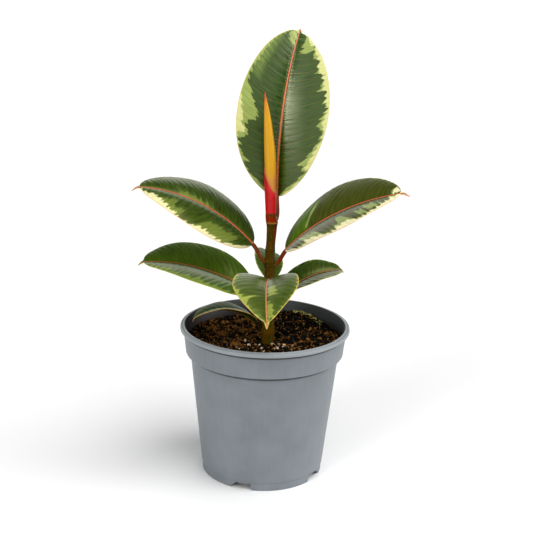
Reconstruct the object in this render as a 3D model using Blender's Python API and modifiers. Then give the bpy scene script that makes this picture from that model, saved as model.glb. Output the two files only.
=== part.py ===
"""Potted rubber plant: a young variegated rubber plant in a round plastic nursery pot.

Lengths are in metres and angles in degrees. +Z is up, the pot stands on z = 0, and -Y is the
front. Every piece is built round the pot's own axis and hangs on one empty, which places that
axis so that the middle of the whole plant's box is at x = 0, y = 0.
"""

import math
import random

import bmesh
import bpy
import numpy as np
from mathutils import Vector

# Frame: the leaves reach further forward than back, so the pot stands a little behind the middle.
POT_AXIS = (0.0, 0.009, 0.0)
GAP = 0.0003

# Pot: a 13 cm injection moulded nursery pot.
POT_HEIGHT = 0.118
RIM_RADIUS = 0.065
LIP_WIDTH = 0.0036
LIP_DROP = 0.0042
LIP_ROUND = 0.0010
GROOVE_DEPTH = 0.0024
GROOVE_WIDTH = 0.0012
WALL = 0.0013
COLLAR_TOP_RADIUS = 0.0624
COLLAR_FOOT_RADIUS = 0.0605
COLLAR_FOOT = 0.096
BODY_TOP_RADIUS = 0.0570
BODY_FOOT_RADIUS = 0.0476
FOOT_RADIUS = 0.0468
FOOT_HEIGHT = 0.0068
FOOT_WALL = 0.0022
FLOOR_UNDERSIDE = 0.0055
FLOOR_THICKNESS = 0.0020
FLOOR_CORNER = 0.0015
EDGE_BREAK = 0.0004
STEP_LOW = COLLAR_FOOT + WALL - EDGE_BREAK
STEP_HIGH = COLLAR_FOOT + WALL + EDGE_BREAK
TURN_STEPS = 60
SHARP_ANGLE = 35.0

# Drain notches in the foot: bearing of each from the front towards +X, and the lean of its top.
NOTCHES = ((-19.5, 2.5), (62.0, -5.0), (150.0, 2.5), (-110.0, -5.0))
NOTCH_FOOT_WIDTH = 22.0
NOTCH_TOP_WIDTH = 14.0
NOTCH_HEIGHT = 0.0050
DRAIN_INNER_RADIUS = 0.0350
DRAIN_OUTER_RADIUS = 0.0425

# Soil: coarse peat, a little lower round the stem than at the wall.
SOIL_EDGE_HEIGHT = 0.1060
SOIL_DIP = 0.0028
SOIL_RINGS = 11
EDGE_BAND = 0.0010
LUMP_HEIGHT = 0.0009
LUMP_LENGTHS = (0.008, 0.017)
LUMP_WAVES = 14
LUMP_SEED = 7
HOLE_SEGMENTS = 24
HOLE_CUTTER_LENGTH = 0.060

# Stem: x of its centre line and its radius at each height; it stands 25 mm deep in the soil.
STEM_LINE = (
    (0.0780, 0.0024, 0.00500),
    (0.0900, 0.0024, 0.00500),
    (0.1030, 0.0024, 0.00490),
    (0.1250, 0.0024, 0.00450),
    (0.1500, 0.0026, 0.00425),
    (0.1620, 0.0026, 0.00420),
    (0.1670, 0.0024, 0.00390),
    (0.1760, 0.0024, 0.00350),
    (0.1850, 0.0029, 0.00350),
    (0.1940, 0.0033, 0.00390),
    (0.1980, 0.0033, 0.00410),
    (0.2018, 0.0023, 0.00400),
    (0.2052, 0.0022, 0.00395),
)
STEM_STEP = 0.0034
STEM_NODES = (0.1110, 0.1310, 0.1345, 0.1400, 0.1470, 0.1650, 0.1672, 0.1765, 0.1985)
NODE_SWELL = 0.00035
NODE_LENGTH = 0.0022

# Growing tip: the rolled new leaf and the red sheath that it comes out of.
SHEATH_FOOT = 0.2055
SHEATH_WALL = 0.0006
SHEATH_LOW_MOUTH = 0.2215
SHEATH_HIGH_MOUTH = 0.2400
SHEATH_RINGS = 10
SHEATH_SIDES = 24
MOUTH_BEARING = 250.0
SPEAR_LINE = (
    (0.2055, 0.0022, 0.0000, 0.0031),
    (0.2120, 0.0020, -0.0003, 0.0033),
    (0.2220, 0.0017, -0.0009, 0.0037),
    (0.2340, 0.0013, -0.0016, 0.0041),
    (0.2440, 0.0008, -0.0021, 0.0043),
    (0.2540, 0.0001, -0.0023, 0.0041),
    (0.2630, -0.0007, -0.0024, 0.0036),
    (0.2730, -0.0016, -0.0026, 0.0029),
    (0.2820, -0.0026, -0.0027, 0.0020),
    (0.2890, -0.0035, -0.0027, 0.0011),
    (0.2950, -0.0043, -0.0027, 0.0003),
)
SPEAR_STEP = 0.0052

# Leaves: blade and petiole in one piece. base is where the blade starts; widest, base_round and
# tip_round shape its outline; heading runs from +X towards +Y and turn is added along the blade;
# rise and fall are its slopes at base and tip, and hook bends the drip tip down; roll and twist
# turn it about its midrib; fold lifts each half and curl bends it on; node is its height on the
# stem and stand is the slope at which the petiole leaves it.
LEAVES = {
    "leaf_top": dict(
        base=(0.0064, 0.0048, 0.2165), length=0.127, width=0.070, widest=0.50, base_round=0.69,
        tip_round=0.58, drip=0.025, heading=60, turn=-2, rise=91, fall=59, ease=1.35, hook=15,
        roll=18.5, twist=26.5, fold=19, curl=0.5, node=0.1985, stand=20,
    ),
    "leaf_upper_left": dict(
        base=(-0.0100, -0.0025, 0.1820), length=0.105, width=0.061, widest=0.47, base_round=0.565,
        tip_round=0.685, drip=0.07, heading=182, turn=11, rise=48, fall=2, ease=1.1, hook=42,
        roll=-26.5, twist=7, fold=11, curl=-31, node=0.1672, stand=40,
    ),
    "leaf_upper_right": dict(
        base=(0.0133, -0.0031, 0.1778), length=0.110, width=0.062, widest=0.54, base_round=0.64,
        tip_round=0.72, drip=0.07, heading=-18, turn=-4, rise=53, fall=13, ease=0.77, hook=40,
        roll=25.8, twist=-2.5, fold=17, curl=-21, node=0.1650, stand=40,
    ),
    "leaf_lower_left": dict(
        base=(-0.0100, 0.0035, 0.1430), length=0.093, width=0.055, widest=0.48, base_round=0.54,
        tip_round=0.64, drip=0.06, heading=182, turn=10, rise=32, fall=-4, ease=1.15, hook=41,
        roll=-22, twist=8, fold=18, curl=-19, node=0.1345, stand=40,
    ),
    "leaf_lower_right": dict(
        base=(0.0120, 0.0080, 0.1400), length=0.058, width=0.032, widest=0.53, base_round=0.56,
        tip_round=0.60, drip=0.07, heading=24, turn=0, rise=34, fall=-12, ease=1.3, hook=43,
        roll=4.5, twist=12.4, fold=20, curl=-15, node=0.1310, stand=35,
    ),
    "leaf_front": dict(
        base=(0.0019, -0.0109, 0.1572), length=0.0765, width=0.0504, widest=0.53, base_round=0.645,
        tip_round=0.88, drip=0.07, heading=265, turn=9.5, rise=17, fall=-37, ease=1.0, hook=43,
        roll=1.7, twist=4.2, fold=30, curl=-21.5, node=0.1470, stand=45,
    ),
    "leaf_back": dict(
        base=(0.0026, 0.0120, 0.1495), length=0.055, width=0.024, widest=0.48, base_round=0.57,
        tip_round=0.60, drip=0.07, heading=94, turn=-4, rise=37, fall=-21, ease=1.1, hook=45,
        roll=15, twist=4, fold=16, curl=-23, node=0.1400, stand=45,
    ),
    "leaf_lowest": dict(
        base=(-0.0065, 0.0055, 0.1180), length=0.057, width=0.032, widest=0.48, base_round=0.55,
        tip_round=0.65, drip=0.07, heading=192, turn=0, rise=45, fall=-41, ease=1.05, hook=41,
        roll=8, twist=0, fold=18, curl=-19, node=0.1110, stand=40,
    ),
}
BLADE_THICKNESS = 0.00065
RIB_HALF_WIDTH = 0.0014
RIB_DEPTH = 0.0020
PETIOLE_RADIUS = 0.0016
PETIOLE_FOOT_RADIUS = 0.0021
PETIOLE_SINK = 0.0009
DRIP_HALF_WIDTH = 0.0010
BLADE_RINGS = 22
PETIOLE_RINGS = 6
HALF_BLADE_COLUMNS = (0.38, 0.72, 1.0)
MIDRIB_STEPS = 400
BLEND_END = 0.015
SEAT_REACH = 0.008
SEAT_HALVINGS = 30
PETIOLE_HANDLE = 0.38

# Colours as sRGB hex, with roughness.
COLOURS = {
    "pot": ("7f8589", 0.45),
    "soil": ("291b09", 0.95),
    "stem": ("443404", 0.55),
    "bud_sheath": ("b41a20", 0.35),
    "new_leaf_spear": ("dba42a", 0.40),
    "leaf": ("3a4f17", 0.28),
}


def clear_scene():
    """Remove every object that the file opened with."""
    for item in list(bpy.data.objects):
        bpy.data.objects.remove(item, do_unlink=True)


def linear(hex_colour):
    """Turn an sRGB hex colour into linear RGBA."""
    values = [int(hex_colour[i:i + 2], 16) / 255 for i in (0, 2, 4)]
    curve = [v / 12.92 if v <= 0.04045 else ((v + 0.055) / 1.055) ** 2.4 for v in values]
    return (*curve, 1.0)


def make_material(name):
    """Return a Principled material with a piece's colour and roughness."""
    colour, roughness = COLOURS[name]
    made = bpy.data.materials.new(name)
    made.use_nodes = True
    shader = made.node_tree.nodes["Principled BSDF"]
    shader.inputs["Base Color"].default_value = linear(colour)
    shader.inputs["Roughness"].default_value = roughness
    shader.inputs["Metallic"].default_value = 0.0
    made.diffuse_color = linear(colour)
    return made


def make_collection(name):
    """Return a new collection linked to the scene."""
    made = bpy.data.collections.new(name)
    bpy.context.scene.collection.children.link(made)
    return made


def add_part(name, data, colour):
    """Put a mesh or curve in the plant's collection as one named piece."""
    piece = bpy.data.objects.new(name, data)
    PLANT.objects.link(piece)
    piece.parent = AXIS
    data.materials.append(make_material(colour))
    return piece


def add_cutter(name, mesh):
    """Put a closed mesh in the cutters' collection, hidden from renders."""
    cutter = bpy.data.objects.new(name, mesh)
    CUTTERS.objects.link(cutter)
    cutter.parent = AXIS
    cutter.hide_render = True
    cutter.display_type = "WIRE"
    return cutter


def cut(piece, cutter):
    """Subtract one cutter from a piece."""
    modifier = piece.modifiers.new(cutter.name, "BOOLEAN")
    modifier.operation = "DIFFERENCE"
    modifier.solver = "EXACT"
    modifier.object = cutter


def turned_mesh(name, profile):
    """Turn a profile of (radius, height) points about Z; both its ends are on the axis."""
    line = bpy.data.meshes.new(name + "_line")
    points = [(radius, 0.0, height) for radius, height in profile]
    line.from_pydata(points, [(i, i + 1) for i in range(len(points) - 1)], [])
    guide = bpy.data.objects.new(name + "_line", line)
    CUTTERS.objects.link(guide)
    screw = guide.modifiers.new("turn", "SCREW")
    screw.axis = "Z"
    screw.angle = math.tau
    screw.steps = TURN_STEPS
    screw.render_steps = TURN_STEPS
    screw.use_merge_vertices = True
    screw.merge_threshold = 0.00001
    screw.use_smooth_shade = True
    depsgraph = bpy.context.evaluated_depsgraph_get()
    made = bpy.data.meshes.new_from_object(guide.evaluated_get(depsgraph))
    made.name = name
    bpy.data.objects.remove(guide, do_unlink=True)
    made.set_sharp_from_angle(angle=math.radians(SHARP_ANGLE))
    return made


def bearing_point(radius, bearing, height):
    """Return a point at a bearing from the front (-Y) towards +X."""
    turn = math.radians(bearing)
    return Vector((radius * math.sin(turn), -radius * math.cos(turn), height))


def inner_radius(height):
    """Return the radius of the pot's inner wall at a height."""
    heights = (FLOOR_UNDERSIDE, STEP_LOW, STEP_HIGH, POT_HEIGHT)
    radii = (BODY_FOOT_RADIUS, BODY_TOP_RADIUS, COLLAR_FOOT_RADIUS, COLLAR_TOP_RADIUS)
    return float(np.interp(height, heights, radii)) - WALL


def inner_wall(inset):
    """Points up the pot's inside, from the middle of its floor to above its step, set in."""
    floor_top = FLOOR_UNDERSIDE + FLOOR_THICKNESS + inset
    corner_top = floor_top + FLOOR_CORNER
    return [
        (0.0, floor_top),
        (inner_radius(corner_top) - FLOOR_CORNER - inset, floor_top),
        (inner_radius(corner_top) - inset, corner_top),
        (inner_radius(STEP_LOW) - inset, STEP_LOW + inset),
        (inner_radius(STEP_HIGH) - inset, STEP_HIGH + inset),
    ]


def pot_profile():
    """Inside, rolled lip with a groove under it, collar, body, foot ring and underside."""
    inner_lip = RIM_RADIUS - LIP_WIDTH
    skirt_foot = POT_HEIGHT - LIP_DROP
    groove_top = skirt_foot + GROOVE_DEPTH
    skirt_inner = COLLAR_TOP_RADIUS + GROOVE_WIDTH
    foot_inner = FOOT_RADIUS - FOOT_WALL
    chamfer = LIP_ROUND * 0.3
    return inner_wall(0.0) + [
        (inner_lip, POT_HEIGHT - LIP_ROUND),
        (inner_lip + chamfer, POT_HEIGHT - chamfer),
        (inner_lip + LIP_ROUND, POT_HEIGHT),
        (RIM_RADIUS - LIP_ROUND, POT_HEIGHT),
        (RIM_RADIUS - chamfer, POT_HEIGHT - chamfer),
        (RIM_RADIUS, POT_HEIGHT - LIP_ROUND),
        (RIM_RADIUS, skirt_foot + EDGE_BREAK),
        (RIM_RADIUS - EDGE_BREAK, skirt_foot),
        (skirt_inner, skirt_foot),
        (skirt_inner, groove_top),
        (COLLAR_TOP_RADIUS, groove_top),
        (COLLAR_FOOT_RADIUS, COLLAR_FOOT + EDGE_BREAK),
        (COLLAR_FOOT_RADIUS - EDGE_BREAK, COLLAR_FOOT),
        (BODY_TOP_RADIUS, COLLAR_FOOT),
        (BODY_FOOT_RADIUS, FOOT_HEIGHT),
        (FOOT_RADIUS, FOOT_HEIGHT - EDGE_BREAK),
        (FOOT_RADIUS, EDGE_BREAK),
        (FOOT_RADIUS - EDGE_BREAK, 0.0),
        (foot_inner, 0.0),
        (foot_inner, FLOOR_UNDERSIDE),
        (0.0, FLOOR_UNDERSIDE),
    ]


def face_outward(made):
    """Turn every face of a closed bmesh outwards."""
    bmesh.ops.recalc_face_normals(made, faces=made.faces)
    if made.calc_volume(signed=True) < 0:
        bmesh.ops.reverse_faces(made, faces=made.faces)


def wedge_mesh(name, corners, radii, heights):
    """A block between two radii, whose bearings differ at its foot and at its top."""
    mesh = bpy.data.meshes.new(name)
    block = bmesh.new()
    bmesh.ops.create_cube(block, size=2.0)
    for vertex in block.verts:
        top = vertex.co.z > 0
        bearing = corners[top][vertex.co.x > 0]
        vertex.co = bearing_point(radii[vertex.co.y > 0], bearing, heights[top])
    face_outward(block)
    block.to_mesh(mesh)
    block.free()
    return mesh


def build_pot():
    """The pot, with four notches through its foot ring and a drain slot behind each."""
    pot = add_part("pot", turned_mesh("pot", pot_profile()), "pot")
    for number, (bearing, lean) in enumerate(NOTCHES):
        foot = (bearing - NOTCH_FOOT_WIDTH / 2, bearing + NOTCH_FOOT_WIDTH / 2)
        top = (bearing + lean - NOTCH_TOP_WIDTH / 2, bearing + lean + NOTCH_TOP_WIDTH / 2)
        notch_radii = (FOOT_RADIUS - 2 * FOOT_WALL, FOOT_RADIUS + FOOT_WALL)
        notch = wedge_mesh(f"notch_{number}", (foot, top), notch_radii, (-GAP, NOTCH_HEIGHT))
        cut(pot, add_cutter(f"notch_{number}", notch))
        slot_radii = (DRAIN_INNER_RADIUS, DRAIN_OUTER_RADIUS)
        slot_top = FLOOR_UNDERSIDE + 2 * FLOOR_THICKNESS
        slot = wedge_mesh(f"drain_{number}", (top, top), slot_radii, (0.0010, slot_top))
        cut(pot, add_cutter(f"drain_{number}", slot))


def lump_height(x, y):
    """Sum of seeded waves: the soil's lumps at points x, y."""
    draw = random.Random(LUMP_SEED)
    total = 0.0
    for _ in range(LUMP_WAVES):
        length = draw.uniform(*LUMP_LENGTHS)
        heading = draw.uniform(0, math.tau)
        phase = draw.uniform(0, math.tau)
        along = x * math.cos(heading) + y * math.sin(heading)
        total += math.sin(math.tau * along / length + phase)
    return total * LUMP_HEIGHT / math.sqrt(LUMP_WAVES / 2)


def soil_height(radius):
    """Smooth height of the soil: highest at the wall, with a dip round the stem."""
    share = min(radius / (inner_radius(SOIL_EDGE_HEIGHT) - GAP), 1.0)
    return SOIL_EDGE_HEIGHT - SOIL_DIP * math.cos(share * math.pi / 2) ** 1.5


def build_soil():
    """The soil fills the pot, one gap off its wall, with a plain round hole for the stem."""
    edge = inner_radius(SOIL_EDGE_HEIGHT) - GAP
    radii = [edge * i / SOIL_RINGS for i in range(SOIL_RINGS + 1)]
    profile = [(radius, soil_height(radius)) for radius in radii] + inner_wall(GAP)[::-1]
    mesh = turned_mesh("soil", profile)
    for vertex in mesh.vertices:
        radius = math.hypot(vertex.co.x, vertex.co.y)
        if vertex.co.z > STEP_HIGH + WALL and radius < edge - EDGE_BAND:
            vertex.co.z += lump_height(vertex.co.x, vertex.co.y)
    soil = add_part("soil", mesh, "soil")

    foot_height, foot_x, foot_radius = STEM_LINE[0]
    hole = bmesh.new()
    hole_radius = (foot_radius + GAP) / math.cos(math.pi / HOLE_SEGMENTS)
    bmesh.ops.create_cone(
        hole, cap_ends=True, segments=HOLE_SEGMENTS, depth=HOLE_CUTTER_LENGTH,
        radius1=hole_radius, radius2=hole_radius,
    )
    middle = Vector((foot_x, 0.0, foot_height - GAP + HOLE_CUTTER_LENGTH / 2))
    bmesh.ops.translate(hole, verts=hole.verts, vec=middle)
    mesh = bpy.data.meshes.new("stem_hole")
    hole.to_mesh(mesh)
    hole.free()
    cut(soil, add_cutter("stem_hole", mesh))


def stem_x(height):
    """Return the x of the stem's centre line at a height."""
    return float(np.interp(height, [p[0] for p in STEM_LINE], [p[1] for p in STEM_LINE]))


def stem_radius(height):
    """Return the stem's radius at a height, with a swelling at each node."""
    plain = float(np.interp(height, [p[0] for p in STEM_LINE], [p[2] for p in STEM_LINE]))
    swell = max(math.exp(-((height - node) / NODE_LENGTH) ** 2) for node in STEM_NODES)
    return plain + NODE_SWELL * swell


def tube_curve(name, points, sides_quarter):
    """A POLY curve with filled caps, through (x, y, z, radius) points."""
    curve = bpy.data.curves.new(name, "CURVE")
    curve.dimensions = "3D"
    curve.bevel_depth = 0.001
    curve.bevel_resolution = sides_quarter
    curve.use_fill_caps = True
    spline = curve.splines.new("POLY")
    spline.points.add(len(points) - 1)
    for slot, (x, y, z, radius) in zip(spline.points, points):
        slot.co = (x, y, z, 1.0)
        slot.radius = radius / curve.bevel_depth
    spline.use_smooth = True
    return curve


def build_stem():
    """The stem: one round tapered tube with a swelling at each leaf's node."""
    low, high = STEM_LINE[0][0], STEM_LINE[-1][0]
    count = round((high - low) / STEM_STEP)
    heights = [low + (high - low) * i / count for i in range(count + 1)]
    points = [(stem_x(z), 0.0, z, stem_radius(z)) for z in heights]
    add_part("stem", tube_curve("stem", points, 4), "stem")


def spear_at(height):
    """Return the spear's centre and radius at a height."""
    heights = [p[0] for p in SPEAR_LINE]
    return [float(np.interp(height, heights, [p[i] for p in SPEAR_LINE])) for i in (1, 2, 3)]


def build_spear():
    """The rolled new leaf: a slim spear that is widest just above the sheath."""
    low, high = SPEAR_LINE[0][0], SPEAR_LINE[-1][0]
    count = round((high - low) / SPEAR_STEP)
    points = []
    for i in range(count + 1):
        height = low + (high - low) * i / count
        x, y, radius = spear_at(height)
        points.append((x, y, height, radius))
    add_part("new_leaf_spear", tube_curve("new_leaf_spear", points, 4), "new_leaf_spear")


def build_sheath():
    """The sheath: a thin tube round the spear's foot, with a mouth cut on a slant."""
    mesh = bpy.data.meshes.new("bud_sheath")
    made = bmesh.new()
    rows = []
    for ring in range(SHEATH_RINGS + 1):
        row = []
        for side in range(SHEATH_SIDES):
            bearing = 360 * side / SHEATH_SIDES
            lift = (1 + math.cos(math.radians(bearing - MOUTH_BEARING))) / 2
            mouth = SHEATH_LOW_MOUTH + (SHEATH_HIGH_MOUTH - SHEATH_LOW_MOUTH) * lift ** 1.3
            height = SHEATH_FOOT + (mouth - SHEATH_FOOT) * ring / SHEATH_RINGS
            x, y, radius = spear_at(height)
            point = bearing_point(radius + GAP, bearing, height)
            row.append(made.verts.new(point + Vector((x, y, 0.0))))
        rows.append(row)
    for below, above in zip(rows, rows[1:]):
        for side in range(SHEATH_SIDES):
            after = (side + 1) % SHEATH_SIDES
            made.faces.new((below[side], below[after], above[after], above[side]))
    made.to_mesh(mesh)
    made.free()
    mesh.shade_smooth()
    sheath = add_part("bud_sheath", mesh, "bud_sheath")
    wall = sheath.modifiers.new("wall", "SOLIDIFY")
    wall.thickness = SHEATH_WALL
    wall.offset = 1.0


def half_width(leaf, along):
    """Half the blade's width at each place along it: two power curves that meet at the widest
    place, plus the narrow drip tip."""
    body = np.clip(along / (1 - leaf["drip"]), 0, 1)
    away = np.where(
        body < leaf["widest"],
        (leaf["widest"] - body) / leaf["widest"],
        (body - leaf["widest"]) / (1 - leaf["widest"]),
    )
    power = np.where(body < leaf["widest"], leaf["base_round"], leaf["tip_round"])
    blade = leaf["width"] / 2 * np.clip(1 - away ** 2, 0, 1) ** power
    past = (along - (1 - leaf["drip"])) / leaf["drip"]
    tip = np.where(past < 0, np.exp(-np.clip(past, -6, 0) ** 2), 1 - 0.6 * np.clip(past, 0, 1))
    return blade + DRIP_HALF_WIDTH * tip * np.clip(along * 20, 0, 1)


def midrib_frame(leaf, along):
    """Points on the midrib and, at each, the blade's forward, sideways and upward directions."""

    def forward_at(place):
        bend = np.clip((place - (1 - 1.5 * leaf["drip"])) / (1.5 * leaf["drip"]), 0, 1)
        slope = leaf["rise"] + (leaf["fall"] - leaf["rise"]) * place ** leaf["ease"]
        slope = np.radians(slope - leaf["hook"] * bend * bend * (3 - 2 * bend))
        heading = np.radians(leaf["heading"] + leaf["turn"] * place)
        level = np.stack([np.cos(heading), np.sin(heading)], 1) * np.cos(slope)[:, None]
        return np.hstack([level, np.sin(slope)[:, None]]), heading

    fine = np.linspace(0, 1, MIDRIB_STEPS + 1)
    steps = forward_at((fine[1:] + fine[:-1]) / 2)[0] * leaf["length"] / MIDRIB_STEPS
    line = np.vstack([np.zeros(3), np.cumsum(steps, 0)]) + np.array(leaf["base"])
    points = np.stack([np.interp(along, fine, line[:, i]) for i in range(3)], 1)

    forward, heading = forward_at(along)
    level = np.stack([-np.sin(heading), np.cos(heading), 0 * heading], 1)
    normal = np.cross(forward, level)
    roll = np.radians(leaf["roll"] + leaf["twist"] * along)[:, None]
    sideways = np.cos(roll) * level + np.sin(roll) * normal
    upward = -np.sin(roll) * level + np.cos(roll) * normal
    return points, forward, sideways, upward


def ring_circle(centres, sideways, upward, radii, count):
    """Rings of points round centres, in the order of a blade ring: over the top, then under."""
    angles = np.pi * (1 - (np.arange(count) + 0.5) / (count / 2))
    across = np.cos(angles)[None, :, None] * sideways[:, None]
    over = np.sin(angles)[None, :, None] * upward[:, None]
    return centres[:, None] + radii[:, None, None] * (across + over)


def blade_rings(leaf):
    """Rings along the blade: its upper face from one edge to the other, then its lower face."""
    along = (1 - np.cos(np.pi * np.arange(BLADE_RINGS + 1) / BLADE_RINGS)) / 2
    points, forward, sideways, upward = midrib_frame(leaf, along)
    width = half_width(leaf, along)

    rib = np.minimum(0.25, RIB_HALF_WIDTH / np.maximum(width, 1e-6))
    half = np.stack([rib] + [np.full_like(rib, column) for column in HALF_BLADE_COLUMNS], 1)
    across = np.hstack([-half[:, ::-1], np.zeros((len(along), 1)), half])

    fold = math.radians(leaf["fold"])
    curl = math.radians(leaf["curl"])
    tilt = fold + curl * np.abs(across)
    out = np.sign(across) * (np.sin(tilt) - math.sin(fold)) / curl
    lift = -(np.cos(tilt) - math.cos(fold)) / curl
    side, up = sideways[:, None], upward[:, None]
    face = points[:, None] + width[:, None, None] * (out[..., None] * side + lift[..., None] * up)

    normal = -(np.sign(across) * np.sin(tilt))[..., None] * side + np.cos(tilt)[..., None] * up
    depth = np.full_like(across, BLADE_THICKNESS)
    depth[:, across.shape[1] // 2] += RIB_DEPTH * (1 - along) ** 1.5
    back = face - normal * depth[..., None]
    rings = np.concatenate([face, back[:, ::-1]], 1)

    centres = points - upward * PETIOLE_SINK
    radii = np.full(len(along), PETIOLE_RADIUS)
    round_rings = ring_circle(centres, sideways, upward, radii, rings.shape[1])
    blend = np.clip(along / BLEND_END, 0, 1)
    blend = (blend * blend * (3 - 2 * blend))[:, None, None]
    return round_rings * (1 - blend) + rings * blend, centres[0], forward[0], sideways[0]


def seat_on_stem(points, direction):
    """Slide points along a direction until each is one gap off the stem's surface."""
    seated = []
    for point in points:
        near, far = -SEAT_REACH, SEAT_REACH
        for _ in range(SEAT_HALVINGS):
            middle = (near + far) / 2
            x, y, z = point + middle * direction
            if math.hypot(x - stem_x(z), y) < stem_radius(z) + GAP:
                near = middle
            else:
                far = middle
        seated.append(point + far * direction)
    return np.array(seated)


def petiole_rings(leaf, end, end_forward, end_sideways, count):
    """Rings along the petiole, a Bezier curve from the stem to the blade, and its seat's middle."""
    height = leaf["node"]
    axis = np.array([stem_x(height), 0.0, height])
    outward = np.array([end[0] - axis[0], end[1], 0.0])
    outward /= np.linalg.norm(outward)
    stand = math.radians(leaf["stand"])
    leave = outward * math.cos(stand) + np.array([0.0, 0.0, math.sin(stand)])
    start = axis + outward * (stem_radius(height) + GAP)
    reach = np.linalg.norm(end - start) * PETIOLE_HANDLE
    controls = np.array([start, start + leave * reach, end - end_forward * reach, end])

    place = np.linspace(0, 1, PETIOLE_RINGS + 1)[:-1, None]
    rest = 1 - place
    weights = (rest ** 3, 3 * rest ** 2 * place, 3 * rest * place ** 2, place ** 3)
    centres = sum(weight * control for weight, control in zip(weights, controls))
    slopes = (rest ** 2, 2 * rest * place, place ** 2)
    forward = sum(slope * step for slope, step in zip(slopes, np.diff(controls, axis=0)))
    forward /= np.linalg.norm(forward, axis=1)[:, None]

    sideways = np.empty_like(centres)
    carried = end_sideways
    for ring in reversed(range(len(centres))):
        carried = carried - forward[ring] * (carried @ forward[ring])
        carried = carried / np.linalg.norm(carried)
        sideways[ring] = carried
    upward = np.cross(forward, sideways)
    radii = PETIOLE_RADIUS + (PETIOLE_FOOT_RADIUS - PETIOLE_RADIUS) * (1 - place[:, 0]) ** 4
    rings = ring_circle(centres, sideways, upward, radii, count)
    rings[0] = seat_on_stem(rings[0], forward[0])
    middle = seat_on_stem([centres[0]], forward[0])[0]
    return rings, middle


def build_leaf(name, leaf):
    """One closed loft: the petiole's rings, then the blade's, with a fan at each end."""
    blade, end, end_forward, end_sideways = blade_rings(leaf)
    petiole, seat_middle = petiole_rings(leaf, end, end_forward, end_sideways, blade.shape[1])
    rings = np.concatenate([petiole, blade])
    made = bmesh.new()
    rows = [[made.verts.new(point) for point in ring] for ring in rings]
    count = len(rows[0])
    for below, above in zip(rows, rows[1:]):
        for side in range(count):
            after = (side + 1) % count
            corners = (below[side], below[after], above[after], above[side])
            turn = 0 if side < count // 2 else 1
            made.faces.new((corners[turn], corners[turn + 1], corners[turn + 2]))
            made.faces.new((corners[turn], corners[turn + 2], corners[(turn + 3) % 4]))
    for row, middle in ((rows[0], seat_middle), (rows[-1], rings[-1].mean(0))):
        centre = made.verts.new(middle)
        for side in range(count):
            made.faces.new((row[side], row[(side + 1) % count], centre))
    face_outward(made)
    mesh = bpy.data.meshes.new(name)
    made.to_mesh(mesh)
    made.free()
    mesh.shade_smooth()
    mesh.set_sharp_from_angle(angle=math.radians(50))
    add_part(name, mesh, "leaf")


clear_scene()
PLANT = make_collection("potted_rubber_plant")
CUTTERS = make_collection("cutters")
AXIS = bpy.data.objects.new("pot_axis", None)
AXIS.location = POT_AXIS
PLANT.objects.link(AXIS)

build_pot()
build_soil()
build_stem()
build_spear()
build_sheath()
for leaf_name, leaf_shape in LEAVES.items():
    build_leaf(leaf_name, leaf_shape)
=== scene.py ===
"""Looks of a young variegated rubber plant in a round nursery pot.

Lengths are in metres, or in millimetres where a name ends in MM. Angles are in degrees, or in
radians where a name ends in RADIANS. +Z is up and -Y is the front. The file follows the plant from
the pot up: pot, soil, what lies on the soil, stem, leaves and growing tip, then the floor, the light
and the camera of the picture.
"""

import math

import bpy
import numpy as np
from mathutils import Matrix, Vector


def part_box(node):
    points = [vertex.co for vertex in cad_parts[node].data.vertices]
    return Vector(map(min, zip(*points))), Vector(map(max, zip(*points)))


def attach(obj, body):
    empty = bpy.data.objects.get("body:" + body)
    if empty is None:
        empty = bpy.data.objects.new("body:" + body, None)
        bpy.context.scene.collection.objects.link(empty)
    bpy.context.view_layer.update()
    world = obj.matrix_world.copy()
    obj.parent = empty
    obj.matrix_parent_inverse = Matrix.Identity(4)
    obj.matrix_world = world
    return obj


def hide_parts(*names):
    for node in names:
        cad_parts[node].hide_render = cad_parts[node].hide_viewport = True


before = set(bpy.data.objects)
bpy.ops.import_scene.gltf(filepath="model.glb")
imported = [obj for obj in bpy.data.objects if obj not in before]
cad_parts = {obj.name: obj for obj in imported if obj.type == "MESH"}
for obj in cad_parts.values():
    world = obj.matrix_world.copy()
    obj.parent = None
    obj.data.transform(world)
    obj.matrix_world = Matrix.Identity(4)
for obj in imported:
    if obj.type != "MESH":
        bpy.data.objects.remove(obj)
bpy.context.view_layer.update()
MM = 0.001

# Pot: a round nursery pot of grey polypropylene, injection moulded in one piece with a thin wall.
# A rolled lip with two beads, a collar and a foot ring stiffen it. The foot ring has four drain
# notches, and a drain slot goes through the raised floor behind each.
POT_LOW, POT_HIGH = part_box("pot")
AXIS_X = (POT_LOW.x + POT_HIGH.x) / 2
AXIS_Y = (POT_LOW.y + POT_HIGH.y) / 2
POT_HEIGHT = POT_HIGH.z
RIM_RADIUS = (POT_HIGH.x - POT_LOW.x) / 2
LIP_WIDTH = 0.0036
LIP_DROP = 0.0035
SKIRT_FOOT = POT_HEIGHT - LIP_DROP
BEAD_VALLEY = 0.0010
GROOVE_DEPTH = 0.0017
GROOVE_WIDTH = 0.0012
WALL = 0.0013
COLLAR_TOP_RADIUS = 0.0624
COLLAR_FOOT_RADIUS = 0.0605
COLLAR_FOOT = 0.0966
STEP_HALF = 0.0004
STEP_LOW = COLLAR_FOOT + WALL - STEP_HALF
STEP_HIGH = COLLAR_FOOT + WALL + STEP_HALF
BODY_TOP_RADIUS = 0.0570
BODY_FOOT_RADIUS = 0.0476
FOOT_RADIUS = 0.0468
FOOT_HEIGHT = 0.0068
FOOT_WALL = 0.0022
FLOOR_UNDERSIDE = 0.0055
FLOOR_TOP = 0.0075
NOTCHES = ((-19.5, 2.5), (62.0, -5.0), (150.0, 2.5), (-110.0, -5.0))
NOTCH_FOOT_WIDTH = 22.0
NOTCH_TOP_WIDTH = 14.0
NOTCH_HEIGHT = 0.0050
DRAIN_INNER_RADIUS = 0.0350
DRAIN_OUTER_RADIUS = 0.0425
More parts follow.
